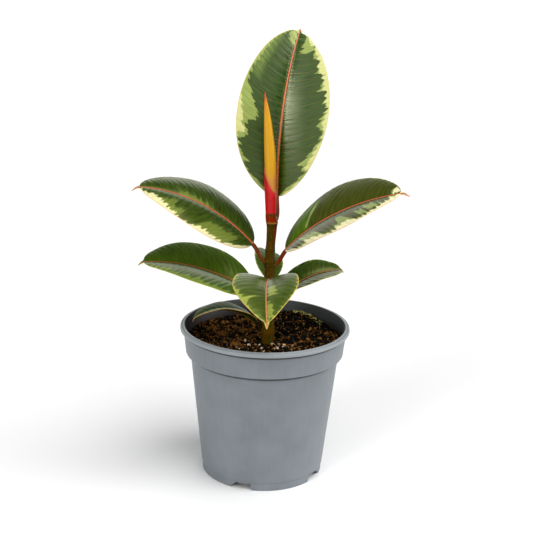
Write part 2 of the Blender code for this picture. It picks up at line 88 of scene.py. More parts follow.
# Painted shadow below the lip's skirt and below the collar's foot: full down to the first depth, faded
# out by the second.
LIP_SHADE = (0.0016, 0.0024)
COLLAR_SHADE = (0.0021, 0.0031)
LINE_TAPER = 0.00005
TURN_STEP = 1.875
GRAIN_MM = 0.8
DUST_TOP = 0.1090
DUST_FOOT = 0.1045
# Painted shade on the inner wall: strong everywhere and strongest towards the left, rising between
# these offsets in x from the pot's axis.
INNER_SHADE_FROM = -0.025
INNER_SHADE_TO = -0.055


def paint(hex_colour):
    """Turn an sRGB hex colour into linear RGBA."""
    values = np.array([int(hex_colour[i:i + 2], 16) for i in (0, 2, 4)]) / 255
    curve = np.where(values <= 0.04045, values / 12.92, ((values + 0.055) / 1.055) ** 2.4)
    return (*(float(v) for v in curve), 1.0)


def add(tree, kind, *inputs, output="", **named):
    """Add one node and return the output asked for, or else its first. Values, or sockets to link,
    fill the inputs that the node shows, in their order. A name with a capital is an input too, and
    any other name is a setting. A hex colour is painted."""
    made = tree.nodes.new("ShaderNode" + kind)
    for name, value in named.items():
        if name.islower():
            setattr(made, name, value)
    filled = list(zip([socket for socket in made.inputs if socket.enabled], inputs))
    filled += [(made.inputs[name], value) for name, value in named.items() if not name.islower()]
    for socket, value in filled:
        if isinstance(value, bpy.types.NodeSocket):
            tree.links.new(value, socket)
        else:
            socket.default_value = paint(value) if isinstance(value, str) else value
    return next(socket for socket in made.outputs
                if socket.enabled and output in ("", socket.name))


def new_material(name, **values):
    """Return a Principled material and its tree, with values set on the shader's own sockets."""
    made = bpy.data.materials.new(name)
    made.use_nodes = True
    shader = made.node_tree.nodes["Principled BSDF"]
    for key, value in values.items():
        shader.inputs[key.replace("_", " ")].default_value = value
    return made, made.node_tree


def connect(made, **sockets):
    """Link sockets to the shader's inputs that they are named for, and return the material."""
    shader = made.node_tree.nodes["Principled BSDF"]
    for key, socket in sockets.items():
        made.node_tree.links.new(socket, shader.inputs[key.replace("_", " ")])
    return made


def grid_faces(rows, columns, close_rows=False, close_columns=False):
    """Quads between neighbouring rows and columns of points that are numbered row by row."""
    row, column = np.meshgrid(
        np.arange(rows if close_rows else rows - 1),
        np.arange(columns if close_columns else columns - 1),
        indexing="ij",
    )
    next_row, next_column = (row + 1) % rows, (column + 1) % columns
    corners = (row * columns + column, row * columns + next_column,
               next_row * columns + next_column, next_row * columns + column)
    return np.stack(corners, -1).reshape(-1, 4)


def fan_faces(row_start, columns, pole):
    """Triangles that close a ring of points with one point at its middle."""
    column = np.arange(columns)
    return np.stack([row_start + (column + 1) % columns, row_start + column,
                     np.full(columns, pole)], -1)


def tube_faces(rows, columns):
    """Faces of a closed tube of rings, whose two end points follow the rings' points."""
    count = rows * columns
    return [grid_faces(rows, columns, close_columns=True), fan_faces(0, columns, count),
            fan_faces(count - columns, columns, count + 1)[:, ::-1]]


def make_piece(name, points, faces, material, crease=35.0, uv=None, attributes=None):
    """Put points and faces into one smooth shaded piece that rides on the plant. Its faces are turned
    outwards by the sign of the volume they enclose: a sixth of the sum of the triangles' triple
    products."""
    volume = 0.0
    for block in faces:
        corners = points[block]
        for place in range(1, block.shape[1] - 1):
            span = np.cross(corners[:, place], corners[:, place + 1])
            volume += float((corners[:, 0] * span).sum())
    if volume < 0:
        faces = [block[:, ::-1] for block in faces]
    mesh = bpy.data.meshes.new(name)
    mesh.from_pydata(points.tolist(), [], [face for block in faces for face in block.tolist()])
    if uv is not None:
        layer = mesh.uv_layers.new(name="veins")
        corner_points = np.empty(len(mesh.loops), np.int32)
        mesh.loops.foreach_get("vertex_index", corner_points)
        layer.data.foreach_set("uv", uv[corner_points].astype(np.float32).ravel())
    for label, values in (attributes or {}).items():
        flat = values.ndim == 1
        layer = mesh.attributes.new(label, "FLOAT" if flat else "FLOAT_VECTOR", "POINT")
        layer.data.foreach_set("value" if flat else "vector", values.astype(np.float32).ravel())
    mesh.materials.append(material)
    mesh.shade_smooth()
    mesh.set_sharp_from_angle(angle=math.radians(crease))
    piece = bpy.data.objects.new(name, mesh)
    bpy.context.scene.collection.objects.link(piece)
    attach(piece, "root")
    return piece


def rounded(corners, steps=4):
    """An outline through corners (radius, height, rounding). Each corner with a rounding becomes a
    short curve, a quadratic one from that far before the corner to that far after it."""
    places = np.array([corner[:2] for corner in corners])
    outline = [places[:1]]
    share = np.linspace(0, 1, steps + 1)[:, None]
    for before, here, after, (_, _, reach) in zip(places, places[1:], places[2:], corners[1:]):
        start = here + (before - here) / np.linalg.norm(before - here) * reach
        end = here + (after - here) / np.linalg.norm(after - here) * reach
        bend = (1 - share) ** 2 * start + 2 * share * (1 - share) * here + share ** 2 * end
        outline.append(bend if reach else here[None])
    return np.concatenate(outline + [places[-1:]])


def inner_radius(height):
    """Return the radius of the pot's inner wall at a height."""
    heights = (FLOOR_UNDERSIDE, STEP_LOW, STEP_HIGH, POT_HEIGHT)
    radii = (BODY_FOOT_RADIUS, BODY_TOP_RADIUS, COLLAR_FOOT_RADIUS, COLLAR_TOP_RADIUS)
    return float(np.interp(height, heights, radii)) - WALL


def inner_wall(inset):
    """Corners up the pot's inside, from the edge of its floor to above its step, set in."""
    corners = ((FLOOR_TOP, 0.0015), (STEP_LOW, 0.0006), (STEP_HIGH, 0.0006))
    return [(inner_radius(height) - inset, height + inset, rounding)
            for height, rounding in corners]


def pot_outline():
    """Corners of the pot's section from the middle of its floor, over the lip, to its underside."""
    lip_inner = RIM_RADIUS - LIP_WIDTH
    skirt_inner = COLLAR_TOP_RADIUS + GROOVE_WIDTH
    foot_inner = FOOT_RADIUS - FOOT_WALL
    return (
        [(0.0, FLOOR_TOP, 0), (DRAIN_INNER_RADIUS, FLOOR_TOP, 0), (DRAIN_OUTER_RADIUS, FLOOR_TOP, 0)]
        + inner_wall(0.0)
        + [
            (lip_inner, POT_HEIGHT, 0.0007),
            (lip_inner + 0.0017, POT_HEIGHT, 0.0006),
            (lip_inner + 0.0019, POT_HEIGHT - BEAD_VALLEY, 0.0003),
            (lip_inner + 0.0023, POT_HEIGHT - 0.0006, 0.0002),
            (RIM_RADIUS - 0.0002, POT_HEIGHT - 0.0005, 0.0010),
            (RIM_RADIUS, SKIRT_FOOT, 0.0008),
            (skirt_inner, SKIRT_FOOT, 0.0003),
            (skirt_inner, SKIRT_FOOT + GROOVE_DEPTH, 0.0004),
            (COLLAR_TOP_RADIUS, SKIRT_FOOT + GROOVE_DEPTH, 0.0004),
            (COLLAR_TOP_RADIUS, SKIRT_FOOT, 0),
            # These rows carry the painted shadow under the lip and, further down, under the collar.
            (COLLAR_TOP_RADIUS - LINE_TAPER, SKIRT_FOOT - LIP_SHADE[0], 0),
            (COLLAR_TOP_RADIUS - 2 * LINE_TAPER, SKIRT_FOOT - LIP_SHADE[1], 0),
            (COLLAR_FOOT_RADIUS, COLLAR_FOOT, 0.0005),
            (BODY_TOP_RADIUS, COLLAR_FOOT, 0.0005),
            (BODY_TOP_RADIUS - 2 * LINE_TAPER, COLLAR_FOOT - COLLAR_SHADE[0], 0),
            (BODY_TOP_RADIUS - 4 * LINE_TAPER, COLLAR_FOOT - COLLAR_SHADE[1], 0),
            (BODY_FOOT_RADIUS, FOOT_HEIGHT, 0.0003),
            (FOOT_RADIUS, FOOT_HEIGHT - 0.0004, 0.0003),
            (FOOT_RADIUS, 0.0, 0.0005),
            (foot_inner, 0.0, 0.0004),
            (foot_inner, FLOOR_UNDERSIDE, 0.0005),
            (DRAIN_OUTER_RADIUS, FLOOR_UNDERSIDE, 0),
            (DRAIN_INNER_RADIUS, FLOOR_UNDERSIDE, 0),
            (0.0, FLOOR_UNDERSIDE, 0),
        ]
    )


def turn_bearings():
    """Even bearings round the pot, with one at each corner of each notch."""
    corners = [bearing + side * NOTCH_FOOT_WIDTH / 2 for bearing, _ in NOTCHES for side in (-1, 1)]
    corners += [bearing + lean + side * NOTCH_TOP_WIDTH / 2
                for bearing, lean in NOTCHES for side in (-1, 1)]
    corners = np.array(corners) % 360
    even = np.arange(0, 360, TURN_STEP)
    near = np.abs((even[:, None] - corners + 180) % 360 - 180).min(1)
    return np.sort(np.concatenate([even[near > TURN_STEP / 3], corners]))


def notch_height(bearings):
    """Height of the foot ring's lower edge: zero, and in a notch a flat top between two ramps."""
    total = np.zeros(len(bearings))
    for bearing, lean in NOTCHES:
        away = (bearings - bearing + 180) % 360 - 180
        foot, top = NOTCH_FOOT_WIDTH / 2, NOTCH_TOP_WIDTH / 2
        total += np.interp(away, (-foot, lean - top, lean + top, foot), (0, 1, 1, 0))
    return total * NOTCH_HEIGHT


def round_the_axis(radii, heights, bearings):
    """Points at radii and heights for each bearing, which runs from the front (-Y) towards +X."""
    turn = np.radians(bearings)
    grid = np.broadcast(radii, turn)
    return np.stack([
        AXIS_X + radii * np.sin(turn),
        AXIS_Y - radii * np.cos(turn),
        np.broadcast_to(heights, grid.shape),
    ], -1)


def pot_mesh():
    """The section carried round the axis. In a notch the foot ring's points move up in proportion
    to the room above them, and each drain slot leaves out quads and gets four walls."""
    outline = rounded(pot_outline())
    bearings = turn_bearings()
    ring = outline[1:-1]
    rows, columns = len(ring), len(bearings)
    middle_of_foot = FOOT_RADIUS - FOOT_WALL / 2
    room = np.where(ring[:, 0] > middle_of_foot, FOOT_HEIGHT, FLOOR_UNDERSIDE)
    share = np.clip(1 - ring[:, 1] / room, 0, 1)
    heights = ring[:, 1:2] + share[:, None] * notch_height(bearings)
    points = round_the_axis(ring[:, :1], heights, bearings).reshape(-1, 3)
    poles = [[AXIS_X, AXIS_Y, outline[0, 1]], [AXIS_X, AXIS_Y, outline[-1, 1]]]
    points = np.vstack([points, poles])

    quads, *fans = tube_faces(rows, columns)
    keep = np.ones((rows - 1, columns), bool)
    walls = []
    inner_top, outer_top = 0, 1
    outer_low, inner_low = rows - 2, rows - 1
    for bearing, lean in NOTCHES:
        away = (bearings - bearing - lean + 180) % 360 - 180
        inside = np.flatnonzero(np.abs(away) < NOTCH_TOP_WIDTH / 2 + 0.01)
        inside = inside[np.argsort(away[inside])]
        first, last = inside[0], inside[-1]
        keep[inner_top, inside[:-1]] = False
        keep[outer_low, inside[:-1]] = False
        here, after = inside[:-1], inside[1:]
        walls.append(np.stack([inner_top * columns + here, inner_low * columns + here,
                               inner_low * columns + after, inner_top * columns + after], -1))
        walls.append(np.stack([outer_top * columns + here, outer_top * columns + after,
                               outer_low * columns + after, outer_low * columns + here], -1))
        walls.append(np.array([[inner_top, outer_top, outer_low, inner_low]]) * columns + first)
        walls.append(np.array([[inner_low, outer_low, outer_top, inner_top]]) * columns + last)
    inside = np.repeat(np.arange(rows) < ring[:, 1].argmax(), columns).astype(float)
    # Rows in the groove under the lip and just below the lip and the collar carry the painted shadow.
    under_lip = (ring[:, 0] < COLLAR_TOP_RADIUS + GROOVE_WIDTH + STEP_HALF / 2) & (
        np.abs(ring[:, 1] - SKIRT_FOOT) < GROOVE_DEPTH + STEP_HALF / 2) & (
        ring[:, 1] > SKIRT_FOOT - LIP_SHADE[0] - STEP_HALF / 2)
    under_collar = (ring[:, 0] < COLLAR_FOOT_RADIUS - STEP_HALF) & (
        np.abs(ring[:, 1] - COLLAR_FOOT) < COLLAR_SHADE[0] + STEP_HALF / 2)
    shaded = np.repeat((under_lip | under_collar) & (np.arange(rows) > ring[:, 1].argmax()), columns)
    attributes = {"inside": np.append(inside, [1.0, 0.0]), "shaded": np.append(shaded, [0.0, 0.0])}
    return points, [quads[keep.ravel()]] + walls + fans, attributes


def pot_material():
    """Polypropylene, injection moulded: a satin grey with the fine grain of a spark-eroded mould,
    drawn coarser than real so that it shows, and faint upright drag marks from the mould. The lip
    is painted paler as painted light, a painted shadow darkens the groove under it and the strip of
    collar just below it and of body just below the collar, and the inner wall is painted dark as
    painted shade, most of all on the left, with peat dust low down."""
    made, tree = new_material("grey_moulded_polypropylene", IOR=1.49)
    place = add(tree, "TexCoord", output="Object")
    height = add(tree, "SeparateXYZ", place, output="Z")
    across = add(tree, "SeparateXYZ", place, output="X")
    inside = add(tree, "Attribute", output="Fac", attribute_name="inside")
    shaded = add(tree, "Attribute", output="Fac", attribute_name="shaded")
    cloud = add(tree, "TexNoise", place, 45, Detail=4)
    drag = add(tree, "TexNoise", add(tree, "Mapping", place, Scale=(420, 420, 14)), 1)
    speck = add(tree, "TexNoise", place, 520, Detail=4)
    grain = add(tree, "TexNoise", place, 1 / (GRAIN_MM * MM))

    blotch = add(tree, "MapRange", cloud, 0.35, 0.65)
    dragged = add(tree, "MapRange", drag, 0.35, 0.65, 0, 0.05)
    # Painted light: the lip is painted paler than the collar, as if lit more.
    lip = add(tree, "MapRange", height, SKIRT_FOOT - STEP_HALF, SKIRT_FOOT, 0, 0.75)
    # Painted shade: the inner wall is painted dark, darkest on the left.
    inner_shade_side = add(tree, "MapRange", across, AXIS_X + INNER_SHADE_FROM, AXIS_X + INNER_SHADE_TO, 0.74, 0.99)
    painted_inner_shade = add(tree, "Math", inside, inner_shade_side, operation="MULTIPLY")
    # Painted shadow: near black in the groove under the lip and in the strips just below the lip and
    # the collar.
    painted_shadow_line = add(tree, "Math", shaded, 0.93, operation="MULTIPLY")
    level = add(tree, "Math", speck, -0.006, height, operation="MULTIPLY_ADD")
    dusty = add(tree, "MapRange", level, DUST_TOP, DUST_FOOT, 0, 0.8,
                interpolation_type="SMOOTHSTEP")
    dust = add(tree, "Math", inside, dusty, operation="MULTIPLY")
    colour = add(tree, "Mix", blotch, "696f74", "72797e", data_type="RGBA")
    for share, layer in ((dragged, "969c9f"), (lip, "8a9093"), (painted_inner_shade, "121312"), (painted_shadow_line, "1e2021"),
                         (dust, "1e150c")):
        colour = add(tree, "Mix", share, colour, layer, data_type="RGBA")

    rough = add(tree, "MapRange", cloud, 0.3, 0.7, 0.42, 0.56)
    relief = add(tree, "Math", drag, 0.3, grain, operation="MULTIPLY_ADD")
    bump = add(tree, "Bump", Strength=0.35, Distance=0.05 * MM, Height=relief)
    return connect(made, Base_Color=colour, Roughness=rough, Normal=bump)


pot_points, pot_faces, pot_attributes = pot_mesh()
pot = make_piece("nursery_pot", pot_points, pot_faces, pot_material(),
                 attributes=pot_attributes)
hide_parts("pot")

# Soil: damp coarse peat that fills the pot to 12 mm below its rim, pressed down a little round the
# stem and heaped against the wall at the back right. One body with a round hole for the stem.
GAP = 0.0003
SOIL_EDGE_HEIGHT = 0.1060
SOIL_DIP = 0.0028
SOIL_RINGS = 150
SOIL_SEGMENTS = 400
HEAP_PLACE = (0.026, 0.046)
HEAP_HEIGHT = 0.0048
HEAP_LENGTH = 0.019
SOIL_LUMPS = ((0.0110, 0.0023), (0.0058, 0.0020), (0.0029, 0.0013), (0.0014, 0.0006))
LUMP_MEAN = 0.36
WARP_LENGTH = 0.012
WARP = (0.006, -0.005)
DISH_POWER = 1.5
SOIL_CALM = 0.25
SOIL_SIDE_DROP = 0.002
PLAIN_CREST = -0.002
SOIL_SEED = 20
STEM_FOOT_X = 0.0024
STEM_FOOT_HEIGHT = 0.0780
STEM_FOOT_RADIUS = 0.0050
# Painted light and shade on the peat: lighter towards the left and darker towards the right, between
# these offsets in x from the pot's axis.
SIDE_LIGHT_FROM = 0.015
SIDE_LIGHT_TO = -0.035
soil_edge = inner_radius(SOIL_EDGE_HEIGHT) - GAP


def lattice_noise(x, y, cell, seed):
    """Smooth noise from 0 to 1: random values on a square lattice, eased between its corners."""
    table = np.random.default_rng(seed).random((256, 256))
    column, row = np.floor(x / cell).astype(int), np.floor(y / cell).astype(int)
    across, along = x / cell - column, y / cell - row
    across, along = across ** 2 * (3 - 2 * across), along ** 2 * (3 - 2 * along)
    corner = [[table[(row + j) % 256, (column + i) % 256] for i in (0, 1)] for j in (0, 1)]
    near = corner[0][0] * (1 - across) + corner[0][1] * across
    far = corner[1][0] * (1 - across) + corner[1][1] * across
    return near * (1 - along) + far * along


def soil_relief(x, y):
    """Crumbly relief about zero: rounded lumps of four sizes, each |2 noise - 1|, on a warped grid."""
    bend = lattice_noise(x, y, WARP_LENGTH, SOIL_SEED) - 0.5
    x, y = x + WARP[0] * bend, y + WARP[1] * bend
    total = np.zeros_like(x)
    for number, (length, height) in enumerate(SOIL_LUMPS):
        wave = lattice_noise(x, y, length, SOIL_SEED + 1 + number)
        total += height * (np.abs(2 * wave - 1) - LUMP_MEAN)
    return total


def soil_top(x, y):
    """Height of the soil at x, y from the pot's axis: a shallow dish, the heap, and the relief,
    which is calmer close to the wall."""
    share = np.clip(np.hypot(x, y) / soil_edge, 0, 1)
    dish = SOIL_EDGE_HEIGHT - SOIL_DIP * np.cos(share * np.pi / 2) ** DISH_POWER
    heap = HEAP_HEIGHT * np.exp(
        -((x - HEAP_PLACE[0]) ** 2 + (y - HEAP_PLACE[1]) ** 2) / HEAP_LENGTH ** 2)
    return dish + heap + soil_relief(x, y) * np.clip((1.02 - share) * 12, SOIL_CALM, 1)


def soil_mesh():
    """Rings whose centre and radius pass evenly from the stem's hole to the pot's wall, then rings
    down the wall and down the hole, each end closed at a pole."""
    turn = np.linspace(0, math.tau, SOIL_SEGMENTS, endpoint=False)
    hole = STEM_FOOT_RADIUS + GAP
    share = np.linspace(0, 1, SOIL_RINGS + 1)[:, None]
    middle = STEM_FOOT_X * (1 - share)
    radius = hole + (soil_edge - hole) * share
    x, y = middle + radius * np.sin(turn), -radius * np.cos(turn)
    top = np.stack([AXIS_X + x, AXIS_Y + y, soil_top(x, y)], -1)

    hole_foot = STEM_FOOT_HEIGHT - GAP
    hole_ring = top[:1].copy()
    hole_ring[..., 2] = hole_foot
    wall = rounded([(0.0, FLOOR_TOP + GAP, 0)] + inner_wall(GAP)
                   + [(soil_edge, SOIL_EDGE_HEIGHT - SOIL_SIDE_DROP, 0)])[1:]
    side = round_the_axis(wall[::-1, :1], wall[::-1, 1:2], np.degrees(turn))
    rings = np.concatenate([hole_ring, top, side])
    poles = [[AXIS_X + STEM_FOOT_X, AXIS_Y, hole_foot], [AXIS_X, AXIS_Y, FLOOR_TOP + GAP]]
    points = np.vstack([rings.reshape(-1, 3), poles])
    crest = np.full(rings.shape[:2], PLAIN_CREST)
    crest[1:1 + len(top)] = soil_relief(x, y)
    return (points, tube_faces(len(rings), SOIL_SEGMENTS),
            np.concatenate([crest.ravel(), [PLAIN_CREST, PLAIN_CREST]]) / MM)


def peat_material():
    """Damp peat, matt, with a fibrous grain of about 1 mm and straw-coloured fibre ends. Painted shade
    makes it almost black between the lumps and painted light browns their crests, and painted light
    and shade make it lighter on the left and darker on the right. crest is the relief in millimetres,
    and tone makes single crumbs differ."""
    made, tree = new_material("damp_coarse_peat", Roughness=0.9, Specular_IOR_Level=0.10)
    place = add(tree, "TexCoord", output="Object")
    across = add(tree, "SeparateXYZ", place, output="X")
    crest = add(tree, "Attribute", output="Fac", attribute_name="crest")
    tone = add(tree, "Attribute", output="Fac", attribute_name="tone")
    clod = add(tree, "TexNoise", place, 240, Detail=4, Roughness=0.6)
    fibre = add(tree, "TexNoise", place, 760, Detail=3, Distortion=1.6)

    # Painted shade and light: the peat is painted darker where its relief is low and browner where it
    # is high.
    painted_crest_light = add(tree, "MapRange", crest, -0.9, 1.9, interpolation_type="SMOOTHSTEP")
    level = clod
    for factor in (fibre, fibre, painted_crest_light):
        level = add(tree, "Math", level, factor, operation="MULTIPLY")
    # Painted light and shade: brighter on the left, darker on the right.
    painted_side_light = add(tree, "MapRange", across, AXIS_X + SIDE_LIGHT_TO, AXIS_X + SIDE_LIGHT_FROM, 4.0, 1.1)
    level = add(tree, "Math", level, painted_side_light, tone, operation="MULTIPLY_ADD")
    share = add(tree, "MapRange", level, 0.20, 0.48)
    light = add(tree, "MapRange", fibre, 0.58, 0.70)
    straw = add(tree, "Math", light, share, operation="MULTIPLY")
    colour = add(tree, "Mix", share, "060300", "946226", data_type="RGBA")
    colour = add(tree, "Mix", straw, colour, "c49048", data_type="RGBA")
    height = add(tree, "Math", clod, fibre, operation="ADD")
    bump = add(tree, "Bump", Strength=1, Distance=1.8 * MM, Height=height)
    return connect(made, Base_Color=colour, Normal=bump)


soil_points, soil_faces, soil_crest = soil_mesh()
peat = peat_material()
soil = make_piece("peat_soil", soil_points, soil_faces, peat, crease=180.0, attributes={
    "crest": soil_crest, "tone": np.zeros(len(soil_points))})
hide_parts("soil")

# What lies on the soil: loose peat crumbs, thin root and bark fibres, pale perlite grains, most of
# them washed together in front of the stem, and a small patch of moss on the heap at the back right.
CRUMB_COUNT = 3000
CRUMB_MM = (0.5, 2.2)
CRUMB_POWER = 2.6
FIBRE_COUNT = 640
FIBRE_STEPS = 8
FIBRE_SIDES = 3
FIBRE_MM = (3.0, 11.0)
FIBRE_RADIUS_MM = (0.10, 0.34)
FIBRE_TURN_RADIANS = 1.8
FIBRE_ARCH_MM = 0.9
PERLITE_PLACES = ((-0.0119, -0.0107), (-0.0066, -0.0059), (0.0095, -0.0177), (0.0057, -0.0072),
                  (-0.0019, -0.0143), (-0.0040, -0.0075), (-0.0150, -0.0020), (0.0150, -0.0120))
PERLITE_MM = (0.8, 1.5)
PERLITE_COUNT = 75
PERLITE_SPREAD = (0.45, 0.55)
PERLITE_CENTRE = (-0.004, -0.009)
MOSS_PLACES = ((0.0270, 0.0525), (0.0310, 0.0490), (0.0350, 0.0450), (0.0400, 0.0400),
               (0.0435, 0.0365))
MOSS_COUNT = 210
MOSS_MM = (0.4, 0.95)
MOSS_SPREAD = (0.0019, 0.0017)
WALL_ROOM = 0.0016
FIBRE_ROOM = 0.001
MOSS_ROOM = 0.0012
STEM_ROOM = 0.0012
draw = np.random.default_rng(4)


def knob(rings, sides):
    """A round template of radius 1: rings of points between two poles, with its faces."""
    fall = np.pi * np.arange(1, rings + 1) / (rings + 1)
    turn = np.arange(sides) * math.tau / sides
    body = np.stack([np.sin(fall)[:, None] * np.cos(turn), np.sin(fall)[:, None] * np.sin(turn),
                     np.cos(fall)[:, None] * np.ones(sides)], -1).reshape(-1, 3)
    return np.vstack([body, [[0, 0, 1], [0, 0, -1]]]), tube_faces(rings, sides)


def repeated(faces, stride, count):
    """The faces of one copy, renumbered for each of count copies."""
    shift = (np.arange(count) * stride)[:, None, None]
    return [(block[None] + shift).reshape(-1, block.shape[1]) for block in faces]


def scatter(template, faces, centres, sizes, squash, roughen):
    """Copies of a template: point = centre + turn (template x size x (1 + roughen x noise)), with the
    second and third axis squashed before the copy is turned by a random unit quaternion."""
    count, stride = len(centres), len(template)
    noise = 1 + roughen * (draw.random((count, stride, 1)) - 0.5)
    shape = template[None] * noise * sizes[:, None, None]
    shape *= np.stack([np.ones(count), draw.uniform(*squash, count), np.full(count, squash[0])],
                      -1)[:, None]
    w, x, y, z = draw.normal(size=(4, count)) * [[1.0], [0.5], [0.5], [1.0]]
    size = np.sqrt(w * w + x * x + y * y + z * z)
    w, x, y, z = w / size, x / size, y / size, z / size
    turn = np.array([
        [1 - 2 * (y * y + z * z), 2 * (x * y - w * z), 2 * (x * z + w * y)],
        [2 * (x * y + w * z), 1 - 2 * (x * x + z * z), 2 * (y * z - w * x)],
        [2 * (x * z - w * y), 2 * (y * z + w * x), 1 - 2 * (x * x + y * y)],
    ]).transpose(2, 0, 1)
    points = centres[:, None] + np.einsum("nij,nkj->nki", turn, shape)
    return points.reshape(-1, 3), repeated(faces, stride, count)


def on_soil(x, y, sink):
    """Places on the soil at x, y from the pot's axis, sunk by a depth."""
    return np.stack([AXIS_X + x, AXIS_Y + y, soil_top(x, y) - sink], -1)


def open_places(count):
    """Random places on the soil that keep clear of the wall and of the stem."""
    radius = (soil_edge - WALL_ROOM) * np.sqrt(draw.random(count * 2))
    turn = draw.uniform(0, math.tau, count * 2)
    x, y = radius * np.cos(turn), radius * np.sin(turn)
    clear = np.hypot(x - STEM_FOOT_X, y) > STEM_FOOT_RADIUS + STEM_ROOM
    return x[clear][:count], y[clear][:count]


crumb_x, crumb_y = open_places(CRUMB_COUNT)
crumb_size = MM * (CRUMB_MM[0] + (CRUMB_MM[1] - CRUMB_MM[0]) * draw.random(CRUMB_COUNT) ** CRUMB_POWER)
knob_points, knob_faces = knob(rings=3, sides=7)
crumb_points, crumb_faces = scatter(
    knob_points, knob_faces, on_soil(crumb_x, crumb_y, crumb_size * 0.1), crumb_size,
    squash=(0.4, 0.85), roughen=0.8)
crumb_tone = np.repeat(draw.random(CRUMB_COUNT) ** 5 * 0.9, len(knob_points))
make_piece("peat_crumbs", crumb_points, crumb_faces, peat, crease=60.0, attributes={
    "crest": np.full(len(crumb_points), 0.1), "tone": crumb_tone})


def fibre_mesh():
    """Thin three-sided strands that lie on the soil: each follows a heading that turns evenly, and
    tapers to both ends."""
    x, y = open_places(FIBRE_COUNT)
    length = MM * draw.uniform(*FIBRE_MM, FIBRE_COUNT)
    step = np.linspace(-0.5, 0.5, FIBRE_STEPS + 1)
    heading = draw.uniform(0, math.tau, FIBRE_COUNT)[:, None]
    bend = draw.uniform(-FIBRE_TURN_RADIANS, FIBRE_TURN_RADIANS, FIBRE_COUNT)[:, None]
    heading = heading + bend * step
    line_x = x[:, None] + np.cumsum(np.cos(heading), 1) * (length / FIBRE_STEPS)[:, None]
    line_y = y[:, None] + np.cumsum(np.sin(heading), 1) * (length / FIBRE_STEPS)[:, None]
    reach = np.maximum(np.hypot(line_x, line_y) / (soil_edge - FIBRE_ROOM), 1)
    line_x, line_y = line_x / reach, line_y / reach
    radius = MM * draw.uniform(*FIBRE_RADIUS_MM, FIBRE_COUNT)[:, None] * (1.05 - (2 * step) ** 2)
    arch = draw.uniform(0.0, FIBRE_ARCH_MM, FIBRE_COUNT)[:, None] * MM * (1 - (2 * step) ** 2)
    line = np.stack([AXIS_X + line_x, AXIS_Y + line_y, soil_top(line_x, line_y) + arch], -1)
    level = np.stack([-np.sin(heading), np.cos(heading), 0 * heading], -1)[:, :, None]
    upright = np.array([0.0, 0.0, 1.0])
    angle = (np.arange(FIBRE_SIDES) * math.tau / FIBRE_SIDES)[:, None]
    ring = np.cos(angle) * level + np.sin(angle) * upright
    body = line[:, :, None] + radius[:, :, None, None] * ring
    ends = np.stack([line[:, 0], line[:, -1]], 1)
    per_strand = (FIBRE_STEPS + 1) * FIBRE_SIDES
    points = np.concatenate([body.reshape(FIBRE_COUNT, per_strand, 3), ends], 1)
    faces = tube_faces(FIBRE_STEPS + 1, FIBRE_SIDES)
    tone = np.repeat(0.05 + 0.8 * draw.random(FIBRE_COUNT) ** 2, per_strand + 2)
    return points.reshape(-1, 3), repeated(faces, per_strand + 2, FIBRE_COUNT), tone


fibre_points, fibre_faces, fibre_tone = fibre_mesh()
make_piece("root_fibres", fibre_points, fibre_faces, peat, crease=60.0, attributes={
    "crest": np.full(len(fibre_points), 0.5), "tone": fibre_tone})


def perlite_material():
    """Expanded perlite: a brittle off-white volcanic foam, matt, stained by the peat."""
    made, tree = new_material("stained_perlite", Roughness=0.8)
    stain = add(tree, "TexNoise", add(tree, "TexCoord", output="Object"), 420, Detail=3)
    share = add(tree, "MapRange", stain, 0.42, 0.62)
    colour = add(tree, "Mix", share, "f4e2c8", "a06e42", data_type="RGBA")
    bump = add(tree, "Bump", Strength=0.6, Distance=0.3 * MM, Height=stain)
    return connect(made, Base_Color=colour, Normal=bump)


def moss_material():
    """Cushion moss: soft matt yellow-green tufts, browner where they have dried."""
    made, tree = new_material("cushion_moss", Roughness=0.85)
    patch = add(tree, "TexNoise", add(tree, "TexCoord", output="Object"), 320, Detail=3)
    share = add(tree, "MapRange", patch, 0.40, 0.62)
    colour = add(tree, "Mix", share, "aca862", "6f6c34", data_type="RGBA")
    return connect(made, Base_Color=colour)


stray_x, stray_y = open_places(PERLITE_COUNT)
gathered = np.arange(PERLITE_COUNT) % 3 > 0
stray_x = np.where(gathered, stray_x * PERLITE_SPREAD[0] + PERLITE_CENTRE[0], stray_x)
stray_y = np.where(gathered, -np.abs(stray_y) * PERLITE_SPREAD[1] + PERLITE_CENTRE[1], stray_y)
grain_x, grain_y = np.concatenate([PERLITE_PLACES, np.stack([stray_x, stray_y], 1)]).T
grain_size = np.concatenate([
    np.full(len(PERLITE_PLACES), PERLITE_MM[1]),
    draw.uniform(0.3, PERLITE_MM[0], PERLITE_COUNT)]) * MM
grain_points, grain_faces = scatter(
    knob_points, knob_faces, on_soil(grain_x, grain_y, grain_size * -0.3), grain_size,
    squash=(0.65, 1.0), roughen=0.5)
make_piece("perlite_grains", grain_points, grain_faces, perlite_material(), crease=50.0)

tuft = draw.integers(0, len(MOSS_PLACES), (2, MOSS_COUNT)).min(0)
tuft_x, tuft_y = (
    np.array(MOSS_PLACES)[tuft, axis] + draw.normal(0, MOSS_SPREAD[axis], MOSS_COUNT)
    for axis in (0, 1))
tuft_reach = np.maximum(np.hypot(tuft_x, tuft_y) / (soil_edge - MOSS_ROOM), 1)
tuft_x, tuft_y = tuft_x / tuft_reach, tuft_y / tuft_reach
tuft_size = draw.uniform(*MOSS_MM, MOSS_COUNT) * MM
moss_points, moss_faces = scatter(
    knob_points, knob_faces, on_soil(tuft_x, tuft_y, tuft_size * -0.4), tuft_size,
    squash=(0.5, 1.0), roughen=0.9)
make_piece("moss_patch", moss_points, moss_faces, moss_material(), crease=60.0)

